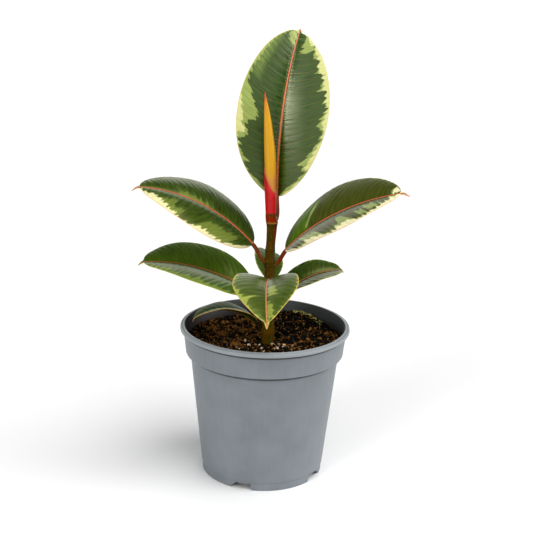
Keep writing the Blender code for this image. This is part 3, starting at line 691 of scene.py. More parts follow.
# Stem: one upright green shoot, firm and round, that browns with age. Each leaf leaves it at a
# swollen node with a thin scar all round, where the leaf's own sheath once sat.
STEM_LINE = (
    (0.0780, 0.0024, 0.00500),
    (0.0900, 0.0024, 0.00500),
    (0.1030, 0.0024, 0.00490),
    (0.1250, 0.0024, 0.00450),
    (0.1500, 0.0026, 0.00425),
    (0.1620, 0.0026, 0.00420),
    (0.1670, 0.0024, 0.00390),
    (0.1760, 0.0024, 0.00350),
    (0.1850, 0.0029, 0.00350),
    (0.1940, 0.0033, 0.00390),
    (0.1980, 0.0033, 0.00410),
    (0.2018, 0.0023, 0.00400),
    (0.2052, 0.0022, 0.00395),
)
STEM_NODES = (0.1110, 0.1310, 0.1345, 0.1400, 0.1470, 0.1650, 0.1672, 0.1765, 0.1985)
NODE_SWELL = 0.00035
NODE_LENGTH = 0.0022
SCAR_HEIGHT = 0.00018
SCAR_LENGTH = 0.0005
PAD_HEIGHT = 0.0008
PAD_LENGTH = 0.0022
PAD_SPREAD_RADIANS = 0.55
STEM_STEP = 0.0005
STEM_SIDES = 48
STEM_RIBS = ((5, 60, 0.012), (11, -90, 0.008))
SHOULDER = 0.0007
SHOULDER_SHARE = 0.80
OLD_BARK = (0.1320, 0.1180)
FOOT_FLUSH = (0.1230, 0.1160)
HIGH_FLUSH = (0.1800, 0.1865)
RED_RING_FOOT = (0.1990, 0.2000)
RED_RING_TOP = (0.2030, 0.2038)
FRESH_SCARS = (0.1780, 0.1960)
SCAR_SHARES = ((0.1100, 0.15), (0.1650, 0.8), (0.1765, 0.6), (0.1985, 1.2))

# Leaves: thick waxy blades, each in one piece with its petiole. base is where the blade starts;
# widest, base_round and tip_round shape its outline, and drip is the drip tip's share of its length;
# heading runs from +X towards +Y and turn is added along the blade; rise and fall are its slopes at
# base and tip, ease is the power by which one passes into the other, and hook bends the drip tip
# down; roll and twist turn it about its midrib; fold lifts each half and curl bends it on; node is
# its height on the stem, stand the slope at which the petiole leaves it, sweep how far up the blade
# its side veins run on their way to the margin, rib half the midrib's width and valley how deep the
# midrib lies, both in millimetres.
LEAVES = {
    "leaf_top": dict(
        base=(0.0064, 0.0048, 0.2165), length=0.127, width=0.070, widest=0.50, base_round=0.69,
        tip_round=0.58, drip=0.025, heading=60, turn=-2, rise=91, fall=59, ease=1.35, hook=15,
        roll=18.5, twist=26.5, fold=19, curl=0.5, node=0.1985, stand=20, sweep=0.11,
        rib=0.98, valley=0.08,
    ),
    "leaf_upper_left": dict(
        base=(-0.0100, -0.0025, 0.1820), length=0.105, width=0.061, widest=0.47, base_round=0.565,
        tip_round=0.685, drip=0.07, heading=182, turn=11, rise=48, fall=2, ease=1.1, hook=42,
        roll=-26.5, twist=7, fold=11, curl=-31, node=0.1672, stand=40, sweep=0.18, rib=0.80,
        valley=0.55,
    ),
    "leaf_upper_right": dict(
        base=(0.0133, -0.0031, 0.1778), length=0.110, width=0.062, widest=0.54, base_round=0.64,
        tip_round=0.72, drip=0.07, heading=-18, turn=-4, rise=53, fall=13, ease=0.77, hook=40,
        roll=25.8, twist=-2.5, fold=17, curl=-21, node=0.1650, stand=40, sweep=0.18, rib=0.80,
        valley=0.55,
    ),
    "leaf_lower_left": dict(
        base=(-0.0100, 0.0035, 0.1430), length=0.093, width=0.055, widest=0.48, base_round=0.54,
        tip_round=0.64, drip=0.06, heading=182, turn=10, rise=32, fall=-4, ease=1.15, hook=41,
        roll=-22, twist=8, fold=18, curl=-19, node=0.1345, stand=40, sweep=0.18, rib=0.70,
        valley=0.55,
    ),
    "leaf_lower_right": dict(
        base=(0.0120, 0.0080, 0.1400), length=0.058, width=0.032, widest=0.53, base_round=0.56,
        tip_round=0.60, drip=0.07, heading=24, turn=0, rise=34, fall=-12, ease=1.3, hook=43,
        roll=4.5, twist=12.4, fold=20, curl=-15, node=0.1310, stand=35, sweep=0.18, rib=0.42,
        valley=0.55,
    ),
    "leaf_front": dict(
        base=(0.0019, -0.0109, 0.1572), length=0.0765, width=0.0504, widest=0.53, base_round=0.645,
        tip_round=0.88, drip=0.07, heading=265, turn=9.5, rise=17, fall=-37, ease=1.0, hook=43,
        roll=1.7, twist=4.2, fold=30, curl=-21.5, node=0.1470, stand=45, sweep=0.16, rib=0.50,
        valley=0.55,
    ),
    "leaf_back": dict(
        base=(0.0026, 0.0120, 0.1495), length=0.055, width=0.024, widest=0.48, base_round=0.57,
        tip_round=0.60, drip=0.07, heading=94, turn=-4, rise=37, fall=-21, ease=1.1, hook=45,
        roll=15, twist=4, fold=16, curl=-23, node=0.1400, stand=45, sweep=0.16, rib=0.55,
        valley=0.55,
    ),
    "leaf_lowest": dict(
        base=(-0.0065, 0.0055, 0.1180), length=0.057, width=0.032, widest=0.48, base_round=0.55,
        tip_round=0.65, drip=0.07, heading=192, turn=0, rise=45, fall=-41, ease=1.05, hook=41,
        roll=8, twist=0, fold=18, curl=-19, node=0.1110, stand=40, sweep=0.16, rib=0.55,
        valley=0.55,
    ),
}


def stem_at(heights):
    """The stem's centre x and its radius at heights, with a smooth swelling at each node."""
    line = np.array(STEM_LINE)
    plain = np.interp(heights, line[:, 0], line[:, 2])
    away = (np.asarray(heights)[..., None] - np.array(STEM_NODES)) / NODE_LENGTH
    swell = np.exp(-away ** 2).max(-1)
    return np.interp(heights, line[:, 0], line[:, 1]), plain + NODE_SWELL * swell


def stem_mesh():
    """Rings up the stem: radius = plain radius + node swelling + scar ridge + a pad under each
    petiole, a bump in height and bearing. STEM_RIBS lists slight lengthwise sine ribs as (count,
    twist in radians per metre, depth as a share of the radius). The top has a shoulder."""
    low, high = STEM_LINE[0][0], STEM_LINE[-1][0]
    heights = np.append(np.arange(low, high, STEM_STEP), high + np.linspace(0.1, 1, 6) * SHOULDER)
    turn = np.linspace(0, math.tau, STEM_SIDES, endpoint=False)
    middle, plain = stem_at(heights)
    away = heights[:, None] - np.array(STEM_NODES)
    fresh = np.interp(STEM_NODES, *np.array(SCAR_SHARES).T)
    scar = SCAR_HEIGHT * (fresh * np.exp(-(away / SCAR_LENGTH) ** 2)).max(1)
    radius = (plain + scar)[:, None] * sum((
        depth * np.sin(count * turn + twist * heights[:, None])
        for count, twist, depth in STEM_RIBS), 1)
    for leaf in LEAVES.values():
        centre, _ = stem_at(leaf["node"])
        bearing = math.atan2(leaf["base"][1], leaf["base"][0] - centre)
        aside = (turn - bearing + np.pi) % math.tau - np.pi
        rise = np.exp(-((heights - leaf["node"]) / PAD_LENGTH) ** 2)
        radius += PAD_HEIGHT * rise[:, None] * np.exp(-(aside / PAD_SPREAD_RADIANS) ** 2)
    past = np.clip((heights - high) / SHOULDER, 0, 1)
    radius *= (SHOULDER_SHARE + (1 - SHOULDER_SHARE) * np.sqrt(1 - past ** 2))[:, None]
    rings = np.stack([
        AXIS_X + middle[:, None] + radius * np.cos(turn),
        AXIS_Y + radius * np.sin(turn),
        np.broadcast_to(heights[:, None], radius.shape),
    ], -1)
    poles = [[AXIS_X + middle[0], AXIS_Y, low], [AXIS_X + middle[-1], AXIS_Y, heights[-1]]]
    points = np.vstack([rings.reshape(-1, 3), poles])
    band = np.append(np.broadcast_to(scar[:, None] / SCAR_HEIGHT, radius.shape).ravel(), [0, 0])
    return points, tube_faces(len(heights), STEM_SIDES), band


def stem_material():
    """Young green bark: waxy olive skin with red-brown flushes, deepest high up and weaker at the
    foot, a red ring just under the growing tip, and pale corky dots about 0.5 mm across. The scars
    of the lower nodes have gone dark, and those high up are still fresh and pale."""
    made, tree = new_material("young_green_bark", Roughness=0.46, IOR=1.45,
                              Specular_IOR_Level=0.08, Specular_Tint=(1.0, 0.80, 0.35, 1.0))
    place = add(tree, "TexCoord", output="Object")
    height = add(tree, "SeparateXYZ", place, output="Z")
    band = add(tree, "Attribute", output="Fac", attribute_name="scar")
    flush = add(tree, "TexNoise", add(tree, "Mapping", place, Scale=(300, 300, 90)), 1, Detail=3)
    fine = add(tree, "TexNoise", place, 900)
    cork = add(tree, "TexVoronoi", place, 520)

    old = add(tree, "MapRange", height, *OLD_BARK, 0, 0.8)
    high_flush = add(tree, "MapRange", height, *HIGH_FLUSH, 0.15, 1.5)
    foot_flush = add(tree, "MapRange", height, *FOOT_FLUSH, 0, 0.32)
    reddest = add(tree, "Math", high_flush, foot_flush, operation="MAXIMUM")
    flushed = add(tree, "MapRange", flush, 0.42, 0.58, 0, reddest,
                  interpolation_type="SMOOTHSTEP")
    ring_foot = add(tree, "MapRange", height, *RED_RING_FOOT)
    ring_top = add(tree, "MapRange", height, *RED_RING_TOP, 1, 0)
    red_ring = add(tree, "Math", ring_foot, ring_top, operation="MULTIPLY")
    scar = add(tree, "Math", band, 0.8, operation="MULTIPLY")
    fresh = add(tree, "MapRange", height, *FRESH_SCARS)
    scar_tint = add(tree, "Mix", fresh, "2c1605", "a0642a", data_type="RGBA")
    dot = add(tree, "MapRange", cork, 0.12, 0.24, 0.45, 0)
    colour = add(tree, "Mix", fine, "2a2602", "443c03", data_type="RGBA")
    for share, layer in ((old, "3e3e08"), (flushed, "742803"), (red_ring, "7c1c04"),
                         (scar, scar_tint), (dot, "9c6838")):
        colour = add(tree, "Mix", share, colour, layer, data_type="RGBA")

    relief = add(tree, "Math", fine, flush, operation="ADD")
    bump = add(tree, "Bump", Strength=0.5, Distance=0.15 * MM, Height=relief)
    return connect(made, Base_Color=colour, Normal=bump)


stem_points, stem_faces, stem_scar = stem_mesh()
stem = make_piece("green_stem", stem_points, stem_faces, stem_material(),
                  attributes={"scar": stem_scar})
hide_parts("stem")

# Leaf markings: green along the midrib, cream at the margin and grey-green between, with a ragged
# edge that steps from side vein to side vein. PLAIN_LEAF holds what MARKINGS doesn't say of a leaf.
# The colours are those of the dark green from streak to streak, of the lobes that reach lobe_mm out
# of it, of the pale, mid green and cream zones, of the margin, the midrib's foot and crest, the
# petiole's green and red, its neck at the blade, the leaf's back and its tip. gloss is the specular
# level, rough the wax's roughness, worn what it gains away from the midrib, relief the bump in
# millimetres. For each half, right and left of the heading, cream and pale list points (vein,
# across) where the zone starts: vein is how far up the midrib the side vein through the point
# leaves it, and across runs from 0 at the midrib to 1 at the margin. A patch of pale or mid green is
# (from vein, to vein, inner, outer at the first vein, outer at the last one).
# Each leaf's midrib crest colour, lighter than its foot, is a painted highlight along the crest.
MARGIN_ONLY = dict(cream=((0, 1.2), (1, 1.2)), pale=((0, 0.97), (1, 0.97)))
PLAIN_LEAF = dict(
    dark=("283c0c", "3a5216"), lobe="465c26", lobe_mm=2.6, pale="8a9c48", mid="4f7022",
    cream="c8c878", margin="c0b850", rib=("a04a28", "c47048"), stalk=("5c4e10", "70280f"),
    neck="6e2410", back="93a262", tip="a8683a", gloss=0.5, gloss_tint=(1.0, 0.94, 0.30, 1.0),
    rough=0.15, worn=0.05, relief=0.038, right=MARGIN_ONLY, left=MARGIN_ONLY,
)
MARKINGS = {
    "leaf_top": dict(
        dark=("1a3404", "2a4b0c"), lobe="28420a", lobe_mm=7.0, pale="93a352", mid="667e36",
        cream="d2d08a", margin="c8b45c", rib=("c4502a", "e88a5a"), neck="a4480f", tip="c87040",
        gloss=0.78, gloss_tint=(1.0, 1.0, 0.70, 1.0), rough=0.12, worn=0.48, relief=0.075,
        right=dict(
            cream=((-0.05, 0.75), (0, 0.86), (0.01, 0.94), (0.05, 0.99), (0.08, 0.98), (0.12, 0.86),
                   (0.15, 0.88), (0.22, 0.94), (0.26, 0.98), (0.30, 0.98), (0.34, 0.93),
                   (0.365, 0.89), (0.41, 0.93), (0.45, 0.95), (0.50, 0.91), (0.53, 0.88),
                   (0.55, 0.94), (0.57, 0.88), (0.58, 0.82), (0.605, 0.87), (0.66, 0.88),
                   (0.69, 0.76), (0.715, 0.76), (0.74, 0.82), (0.80, 0.82), (0.82, 0.93),
                   (0.86, 0.68), (0.875, 0.82), (0.89, 1.0), (1, 1.0)),
            pale=((-0.01, 0.42), (0.01, 0.60), (0.025, 0.77), (0.035, 0.87), (0.07, 0.89),
                  (0.115, 0.84), (0.14, 0.73), (0.15, 0.58), (0.16, 0.67), (0.185, 0.80),
                  (0.235, 0.86), (0.275, 0.95), (0.32, 0.93), (0.345, 0.87), (0.36, 0.76),
                  (0.385, 0.85), (0.42, 0.87), (0.435, 0.92), (0.46, 0.92), (0.50, 0.88),
                  (0.525, 0.92), (0.565, 0.94), (0.575, 0.72), (0.60, 0.79), (0.62, 0.84),
                  (0.66, 0.87), (0.685, 0.84), (0.69, 0.68), (0.73, 0.78), (0.76, 0.81),
                  (0.775, 0.75), (0.78, 0.60), (0.80, 0.75), (0.82, 0.83), (0.83, 0.28),
                  (0.85, 0.24), (0.87, 0.30), (0.895, 0.34), (0.90, 0.75), (0.91, 0.97),
                  (1, 0.97)),
        ),
        left=dict(
            cream=((0, 1.1), (0.275, 0.96), (0.28, 0.83), (0.31, 0.81), (0.335, 0.86),
                   (0.355, 0.89), (0.375, 0.84), (0.40, 0.91), (0.44, 0.93), (0.465, 0.98),
                   (0.50, 1.1), (1, 1.1)),
            pale=((-0.02, 0.40), (0, 0.75), (0.03, 0.88), (0.065, 0.95), (0.10, 0.96),
                  (0.13, 0.87), (0.135, 0.75), (0.145, 0.88), (0.165, 0.94), (0.20, 0.96),
                  (0.235, 0.95), (0.265, 0.85), (0.27, 0.77), (0.29, 0.72), (0.345, 0.79),
                  (0.365, 0.77), (0.385, 0.60), (0.41, 0.53), (0.43, 0.53), (0.46, 0.60),
                  (0.485, 0.68), (0.51, 0.76), (0.53, 0.85), (0.535, 0.94), (0.61, 0.94),
                  (0.70, 0.91), (0.85, 0.95), (1, 0.95)),
            patches=((0.885, 1.2, 0.02, 1.2, 1.2),),
            mid=((0.60, 0.84, 0.70, 1.2, 1.2),),
        ),
    ),
    "leaf_upper_left": dict(
        dark=("22340a", "344c0e"), lobe="4a5e2c", pale="66752e", mid="4d6a20", cream="e4dca8",
        margin="dcae80", rib=("b5482a", "e07a54"), stalk=("4c3e0a", "6a2408"), tip="b07a48",
        gloss=0.45,
        right=dict(
            cream=((0, 1.2), (0.75, 1.2), (0.90, 0.9), (1, 0.3)),
            pale=((0, 0.95), (0.85, 0.95), (0.93, 0.5), (1, 0)),
            patches=((0.40, 0.63, 0, 0.09, 0.18),),
        ),
        left=dict(
            cream=((-0.11, 0.79), (-0.07, 0.80), (-0.03, 0.87), (0.02, 0.92), (0.06, 0.97),
                   (0.09, 0.94), (0.135, 0.94), (0.15, 0.87), (0.17, 0.87), (0.20, 0.91),
                   (0.245, 0.84), (0.27, 0.88), (0.31, 0.85), (0.33, 0.89), (0.345, 0.95),
                   (0.365, 1.0), (0.435, 1.0), (0.49, 0.96), (0.50, 0.93), (0.52, 0.86),
                   (0.56, 0.88), (0.595, 0.86), (0.605, 0.75), (0.655, 0.77), (0.675, 0.72),
                   (0.685, 0.59), (0.705, 0.61), (0.725, 0.70), (0.735, 0.54), (0.765, 0.55),
                   (0.79, 0.73), (0.84, 0.8), (0.90, 0.4), (1, 0.1)),
            pale=((-0.11, 0.78), (0.03, 0.90), (0.045, 0.93), (0.05, 0.53), (0.10, 0.49),
                  (0.145, 0.50), (0.19, 0.53), (0.245, 0.53), (0.28, 0.55), (0.30, 0.52),
                  (0.32, 0.61), (0.335, 0.74), (0.34, 0.93), (0.365, 0.99), (0.48, 0.97),
                  (0.49, 0.86), (0.50, 0.6), (0.525, 0.66), (0.56, 0.68), (0.59, 0.68),
                  (0.605, 0.52), (0.62, 0.35), (0.65, 0.44), (0.67, 0.50), (0.69, 0.54),
                  (0.72, 0.63), (0.735, 0.53), (0.77, 0.54), (0.80, 0.7), (0.90, 0.3), (1, 0)),
        ),
    ),
    "leaf_upper_right": dict(
        dark=("333c10", "444c18"), lobe="566034", lobe_mm=2.0, pale="8f9c54", mid="486a16",
        cream="f0e8bc", margin="ddae80", rib=("b5482a", "d8704a"), stalk=("4c3e0a", "6a2408"),
        tip="c07a44", gloss=0.16, rough=0.17,
        right=dict(
            cream=((-0.065, 0.74), (-0.035, 0.90), (0, 0.96), (0.06, 0.90), (0.11, 0.86),
                   (0.115, 0.71), (0.145, 0.75), (0.19, 0.81), (0.23, 0.86), (0.265, 0.94),
                   (0.305, 0.97), (0.35, 0.91), (0.38, 0.82), (0.40, 0.83), (0.43, 0.76),
                   (0.46, 0.75), (0.49, 0.79), (0.505, 0.92), (0.535, 0.97), (0.575, 0.92),
                   (0.60, 0.85), (0.635, 0.88), (0.69, 0.81), (0.77, 0.60), (0.81, 0.49),
                   (0.86, 0.35), (0.92, 0.1), (1, 0)),
            pale=((-0.065, 0.5), (-0.03, 0.80), (0, 0.92), (0.06, 0.84), (0.11, 0.74),
                  (0.125, 0.30), (0.145, 0.36), (0.17, 0.50), (0.225, 0.52), (0.25, 0.56),
                  (0.255, 0.79), (0.27, 0.93), (0.34, 0.90), (0.40, 0.72), (0.41, 0.69),
                  (0.435, 0.51), (0.445, 0.37), (0.48, 0.45), (0.495, 0.55), (0.50, 0.74),
                  (0.51, 0.90), (0.57, 0.90), (0.63, 0.85), (0.69, 0.79), (0.77, 0.55),
                  (0.82, 0.4), (0.86, 0.1), (1, 0)),
            patches=((0.575, 0.615, 0.5, 0.85, 0.85), (0.64, 0.72, 0.35, 0.75, 0.7)),
        ),
        left=dict(
            cream=((0, 1.2), (0.54, 1.2), (0.555, 0.95), (0.57, 1.2), (0.76, 1.1), (0.83, 0.5),
                   (0.87, 0.15), (1, 0)),
            pale=((0, 0.97), (0.74, 0.97), (0.80, 0.85), (0.83, 0.3), (0.85, 0.1), (1, 0)),
            patches=((0.197, 0.214, 0.15, 0.85, 0.70),),
            mid=((0.03, 0.225, 0.03, 1.2, 0.8),),
        ),
    ),
    "leaf_lower_left": dict(
        dark=("354e0e", "466216"), lobe="435c22", pale="748832", cream="c9ca70", margin="aeb048",
        rib=("9c4426", "c47048"),
        left=dict(
            cream=((0, 1.2), (0.8, 0.98), (0.92, 0.7), (1, 0.3)),
            pale=((-0.05, 0.9), (0.1, 0.9), (0.20, 0.82), (0.25, 0.92), (0.28, 0.78), (0.32, 0.92),
                  (0.34, 0.77), (0.40, 0.66), (0.42, 0.9), (0.45, 0.72), (0.49, 0.70),
                  (0.53, 0.9), (0.545, 0.75), (0.60, 0.9), (0.615, 0.58), (0.65, 0.64),
                  (0.73, 0.71), (0.80, 0.70), (0.84, 0.9), (0.92, 0.5), (1, 0)),
        ),
    ),
    "leaf_lower_right": dict(tip="8e5226"),
    "leaf_front": dict(
        dark=("344810", "46581e"), lobe="566a30", lobe_mm=3.0, pale="9aa54a", mid="6a7638",
        cream="dcd98c", margin="d0ac4c", rib=("b5603a", "d08a62"), tip="c8945a", gloss=0.36,
        rough=0.24,
        right=dict(
            cream=((0, 1.2), (0.85, 1.2), (0.97, 0.5), (1, 0.1)),
            pale=((0, 0.97), (0.34, 0.97), (0.39, 0.96), (0.465, 0.87), (0.50, 0.83),
                  (0.52, 0.91), (0.53, 0.92), (0.585, 0.72), (0.60, 0.50), (0.605, 0.27),
                  (0.61, 0.30), (0.615, 0.58), (0.628, 0.76), (0.64, 0.95), (0.88, 0.97),
                  (0.94, 0.5), (0.96, 0)),
            mid=((0.267, 0.415, 0, 0.25, 0.23),),
        ),
        left=dict(
            cream=((0, 1.2), (0.85, 1.2), (0.97, 0.5), (1, 0.1)),
            pale=((0, 0.97), (0.85, 0.95), (0.95, 0.2), (1, 0)),
            patches=((0.453, 0.60, 0.03, 0.27, 0.35), (0.69, 1.2, 0, 0.12, 1.9)),
        ),
    ),
    "leaf_back": dict(dark=("2a3e0e", "3c5418"), margin="bcb452", gloss=0.05, rough=0.3),
    # The lowest leaf's back, midrib, petiole and neck colours are drawn near black as painted shade,
    # for the shadow it lies in inside the pot.
    "leaf_lowest": dict(
        dark=("283c0c", "385216"), margin="cf9f4c", rib=("3a2c0c", "8a6a28"),
        stalk=("1e1c08", "2a1808"), neck="22200a", back="1c1a0c", tip="b06a30", gloss=0.05,
        rough=0.25,
    ),
}
OUTSIDE_MM = -20.0
FAR_FROM_LINES = 9.0
BLADE_MM = 0.50
EDGE_MM = 0.16
EDGE_ROUND_MM = 0.50
ROW_MM = 0.75
HALF_COLUMNS = 30
EVEN_ROWS = 0.45
EVEN_COLUMNS = 0.3
RIB_THINS = 0.62
RIB_SHARE = 0.25
RIB_LEAST_MM = 0.02
RIB_DEPTH_MM = 1.7
RIB_SPREAD_MM = 1.0
RIB_RISE = 0.24
RIB_GROOVE = 0.22
RIB_KEEL = 0.35
VALLEY_REACH_MM = 3.0
VEIN_SPACING_MM = 4.8
VEIN_CURVE = 0.625
VEIN_WANDER = ((0.25, 9.1, 1), (0.15, 4.3, 2))
RIDGES_PER_VEIN = 2.3
VEIN_SWELL_MM = 0.055
MARGIN_SWELL_MM = 0.10
WAVE_MM = 0.22
WAVES = 2.6
PETIOLE_RADIUS = 0.0016
PETIOLE_FOOT_RADIUS = 0.0021
PETIOLE_SINK = 0.0009
PETIOLE_ROOT = 0.0006
PETIOLE_ROWS = 26
PETIOLE_HANDLE = 0.38
DRIP_HALF_WIDTH = 0.0021
DRIP_TAPER = 0.86
TIP_SHARE = 1.1
BLEND_END = 0.015
MIDRIB_STEPS = 400


def crowded(count, evenness):
    """Places from 0 to 1 in count steps that shorten towards both ends as in half a cosine."""
    even = np.linspace(0, 1, count + 1)
    return evenness * even + (1 - evenness) * (1 - np.cos(np.pi * even)) / 2


def half_width(leaf, along):
    """Half the blade's width at each place along it: two power curves that meet at the widest
    place, plus the narrow drip tip."""
    body = np.clip(along / (1 - leaf["drip"]), 0, 1)
    away = np.where(
        body < leaf["widest"],
        (leaf["widest"] - body) / leaf["widest"],
        (body - leaf["widest"]) / (1 - leaf["widest"]),
    )
    power = np.where(body < leaf["widest"], leaf["base_round"], leaf["tip_round"])
    blade = leaf["width"] / 2 * np.clip(1 - away ** 2, 0, 1) ** power
    past = (along - (1 - leaf["drip"])) / leaf["drip"]
    tip = np.where(past < 0, np.exp(-np.clip(past, -6, 0) ** 2), 1 - DRIP_TAPER * np.clip(past, 0, 1))
    return blade + DRIP_HALF_WIDTH * tip * np.clip(along * 20, 0, 1)


def midrib_frame(leaf, along):
    """Points on the midrib and, at each, the blade's forward, sideways and upward directions: slope
    and heading pass smoothly from base to tip, and roll turns the blade about its midrib."""

    def forward_at(place):
        bend = np.clip((place - (1 - 1.5 * leaf["drip"])) / (1.5 * leaf["drip"]), 0, 1)
        slope = leaf["rise"] + (leaf["fall"] - leaf["rise"]) * place ** leaf["ease"]
        slope = np.radians(slope - leaf["hook"] * bend * bend * (3 - 2 * bend))
        heading = np.radians(leaf["heading"] + leaf["turn"] * place)
        level = np.stack([np.cos(heading), np.sin(heading)], 1) * np.cos(slope)[:, None]
        return np.hstack([level, np.sin(slope)[:, None]]), heading

    fine = np.linspace(0, 1, MIDRIB_STEPS + 1)
    steps = forward_at((fine[1:] + fine[:-1]) / 2)[0] * leaf["length"] / MIDRIB_STEPS
    start = np.array(leaf["base"]) + (AXIS_X, AXIS_Y, 0.0)
    line = np.vstack([np.zeros(3), np.cumsum(steps, 0)]) + start
    points = np.stack([np.interp(along, fine, line[:, i]) for i in range(3)], 1)

    forward, heading = forward_at(along)
    level = np.stack([-np.sin(heading), np.cos(heading), 0 * heading], 1)
    normal = np.cross(forward, level)
    roll = np.radians(leaf["roll"] + leaf["twist"] * along)[:, None]
    sideways = np.cos(roll) * level + np.sin(roll) * normal
    upward = -np.sin(roll) * level + np.cos(roll) * normal
    return points, forward, sideways, upward


def ring_circle(centres, sideways, upward, radii, count):
    """Rings of points round centres, in the order of a blade ring: over the top, then under."""
    angles = np.pi * (1 - (np.arange(count) + 0.5) / (count / 2))
    across = np.cos(angles)[None, :, None] * sideways[:, None]
    over = np.sin(angles)[None, :, None] * upward[:, None]
    return centres[:, None] + radii[:, None, None] * (across + over)


def vein_place(leaf, along, ratio):
    """Where the side vein through a point leaves the midrib; veins curve up towards the margin."""
    return along - leaf["sweep"] * ((1 - VEIN_CURVE) * ratio + VEIN_CURVE * ratio ** 2)


def zone_depth(leaf, marks, vein, ratio, width_mm):
    """How far, in millimetres, each point lies inside the cream, pale and mid green zones."""
    depths = []
    for zone, patches in (("cream", None), ("pale", "patches"), (None, "mid")):
        depth = np.full(vein.shape, OUTSIDE_MM)
        if zone:
            start, across = np.array(marks[zone], float).T
            depth = (ratio - np.interp(vein, start, across)) * width_mm
        for low, high, inner, outer_low, outer_high in marks.get(patches, ()):
            outer = outer_low + (outer_high - outer_low) * (vein - low) / (high - low)
            room = np.minimum(vein - low, high - vein) * leaf["length"] / MM
            aside = np.minimum(ratio - inner, outer - ratio) * width_mm
            depth = np.maximum(depth, np.minimum(room, aside))
        depths.append(depth)
    return np.stack(depths, -1)


def blade_rings(name, leaf, marks):
    """Rings along the blade, over its upper face and back under it, with what the material reads.
    Upper face = fold and curl of the section + raised midrib in a groove + pillows between side
    veins + a slow wave of the margin - a valley that fades away from the midrib; the lower face
    lies one thickness below, with the midrib's keel. Veins and wave are shifted by a number made
    of the name's letters, so that no two leaves have them alike."""
    along = crowded(round(leaf["length"] / (ROW_MM * MM)), EVEN_ROWS)
    points, forward, sideways, upward = midrib_frame(leaf, along)
    width = half_width(leaf, along)

    half = crowded(HALF_COLUMNS, EVEN_COLUMNS)
    across = np.concatenate([-half[:0:-1], half])
    ratio = np.abs(across)
    fold, curl = math.radians(leaf["fold"]), math.radians(leaf["curl"])
    tilt = fold + curl * ratio
    out = np.sign(across) * (np.sin(tilt) - math.sin(fold)) / curl
    lift = -(np.cos(tilt) - math.cos(fold)) / curl
    side, up = sideways[:, None], upward[:, None]
    face = points[:, None] + width[:, None, None] * (out[:, None] * side + lift[:, None] * up)
    normal = -(np.sign(across) * np.sin(tilt))[:, None] * side + np.cos(tilt)[:, None] * up
    normal[:, HALF_COLUMNS] = upward

    width_mm = width[:, None] / MM
    off_mm = ratio * width_mm
    edge_mm = (1 - ratio) * width_mm
    rib_mm = leaf["rib"] * (1 - RIB_THINS * along)[:, None]
    rib_mm = np.minimum(rib_mm, RIB_SHARE * width_mm + RIB_LEAST_MM)
    vein = vein_place(leaf, along[:, None], ratio[None])
    narrow = width_mm / width_mm.max()
    vein_mm = (along[:, None] - (along[:, None] - vein) * narrow) * leaf["length"] / MM
    shift = sum(map(ord, name))
    veins = vein_mm / VEIN_SPACING_MM
    for reach, length_mm, turns in VEIN_WANDER:
        veins = veins + reach * np.sin(vein_mm / length_mm + turns * shift)
    veins = veins + 0.5 * (across > 0)
    pillow = -np.cos(math.tau * veins) * (VEIN_SWELL_MM + MARGIN_SWELL_MM * ratio ** 2)
    pillow = pillow * np.clip(off_mm / 3, 0, 1) * np.clip(edge_mm / 1.5, 0, 1)
    wave = np.where(across > 0, 1.0, 2.3) + shift
    wave = WAVE_MM * ratio ** 3 * np.sin(math.tau * WAVES * along[:, None] + wave)
    wave = wave * np.clip(width_mm / 8, 0, 1)
    rib = RIB_RISE * rib_mm * np.clip(1 - (off_mm / rib_mm) ** 2, 0, 1)
    groove = RIB_GROOVE * rib_mm * np.exp(-((off_mm - 1.5 * rib_mm) / (0.9 * rib_mm)) ** 2)
    near_edge = np.clip(1 - edge_mm / EDGE_ROUND_MM, 0, 1)
    thick = EDGE_MM + (BLADE_MM - EDGE_MM) * np.sqrt(1 - near_edge ** 2)
    keel = RIB_DEPTH_MM * (1 - along[:, None]) ** 1.5 + RIB_KEEL * rib_mm
    keel = keel * np.exp(-(off_mm / (RIB_SPREAD_MM * np.clip(rib_mm, 0.5, 1))) ** 2)
    valley = leaf["valley"] * np.exp(-off_mm / VALLEY_REACH_MM) * np.clip(width_mm / 8, 0, 1)
    top = wave + pillow + rib - groove - valley - (BLADE_MM - thick) / 2
    below = wave + 0.6 * pillow - valley - (BLADE_MM + thick) / 2 - keel
    upper = face + normal * (top * MM)[..., None]
    lower = face + normal * (below * MM)[..., None]
    rings = np.concatenate([upper, lower[:, ::-1]], 1)

    centres = points - upward * PETIOLE_SINK
    radii = np.full(len(along), PETIOLE_RADIUS)
    round_rings = ring_circle(centres, sideways, upward, radii, rings.shape[1])
    blend = np.clip(along / BLEND_END, 0, 1)
    blend = blend * blend * (3 - 2 * blend)
    rings = round_rings + (rings - round_rings) * blend[:, None, None]

    tip = np.clip((along - 1) / leaf["drip"] * TIP_SHARE + 1, 0, 1)
    right = zone_depth(leaf, marks["right"], vein, ratio, width_mm)
    left = zone_depth(leaf, marks["left"], vein, ratio, width_mm)
    zones = np.where((across > 0)[None, :, None], left, right)
    spread = np.broadcast_to
    place = np.stack([off_mm / rib_mm, edge_mm, np.zeros_like(off_mm)], -1)
    under = place.copy()
    under[..., 2] = 1
    fields = dict(
        uv=np.stack([spread(across * width_mm, veins.shape), veins], -1),
        zones=zones,
        place=place,
        stalk=np.stack([spread(1 - blend[:, None], veins.shape), np.ones_like(veins),
                        spread(tip[:, None], veins.shape)], -1),
    )
    fields = {key: np.concatenate([value, (under if key == "place" else value)[:, ::-1]], 1)
              for key, value in fields.items()}
    return rings, fields, centres[0], forward[0], sideways[0]


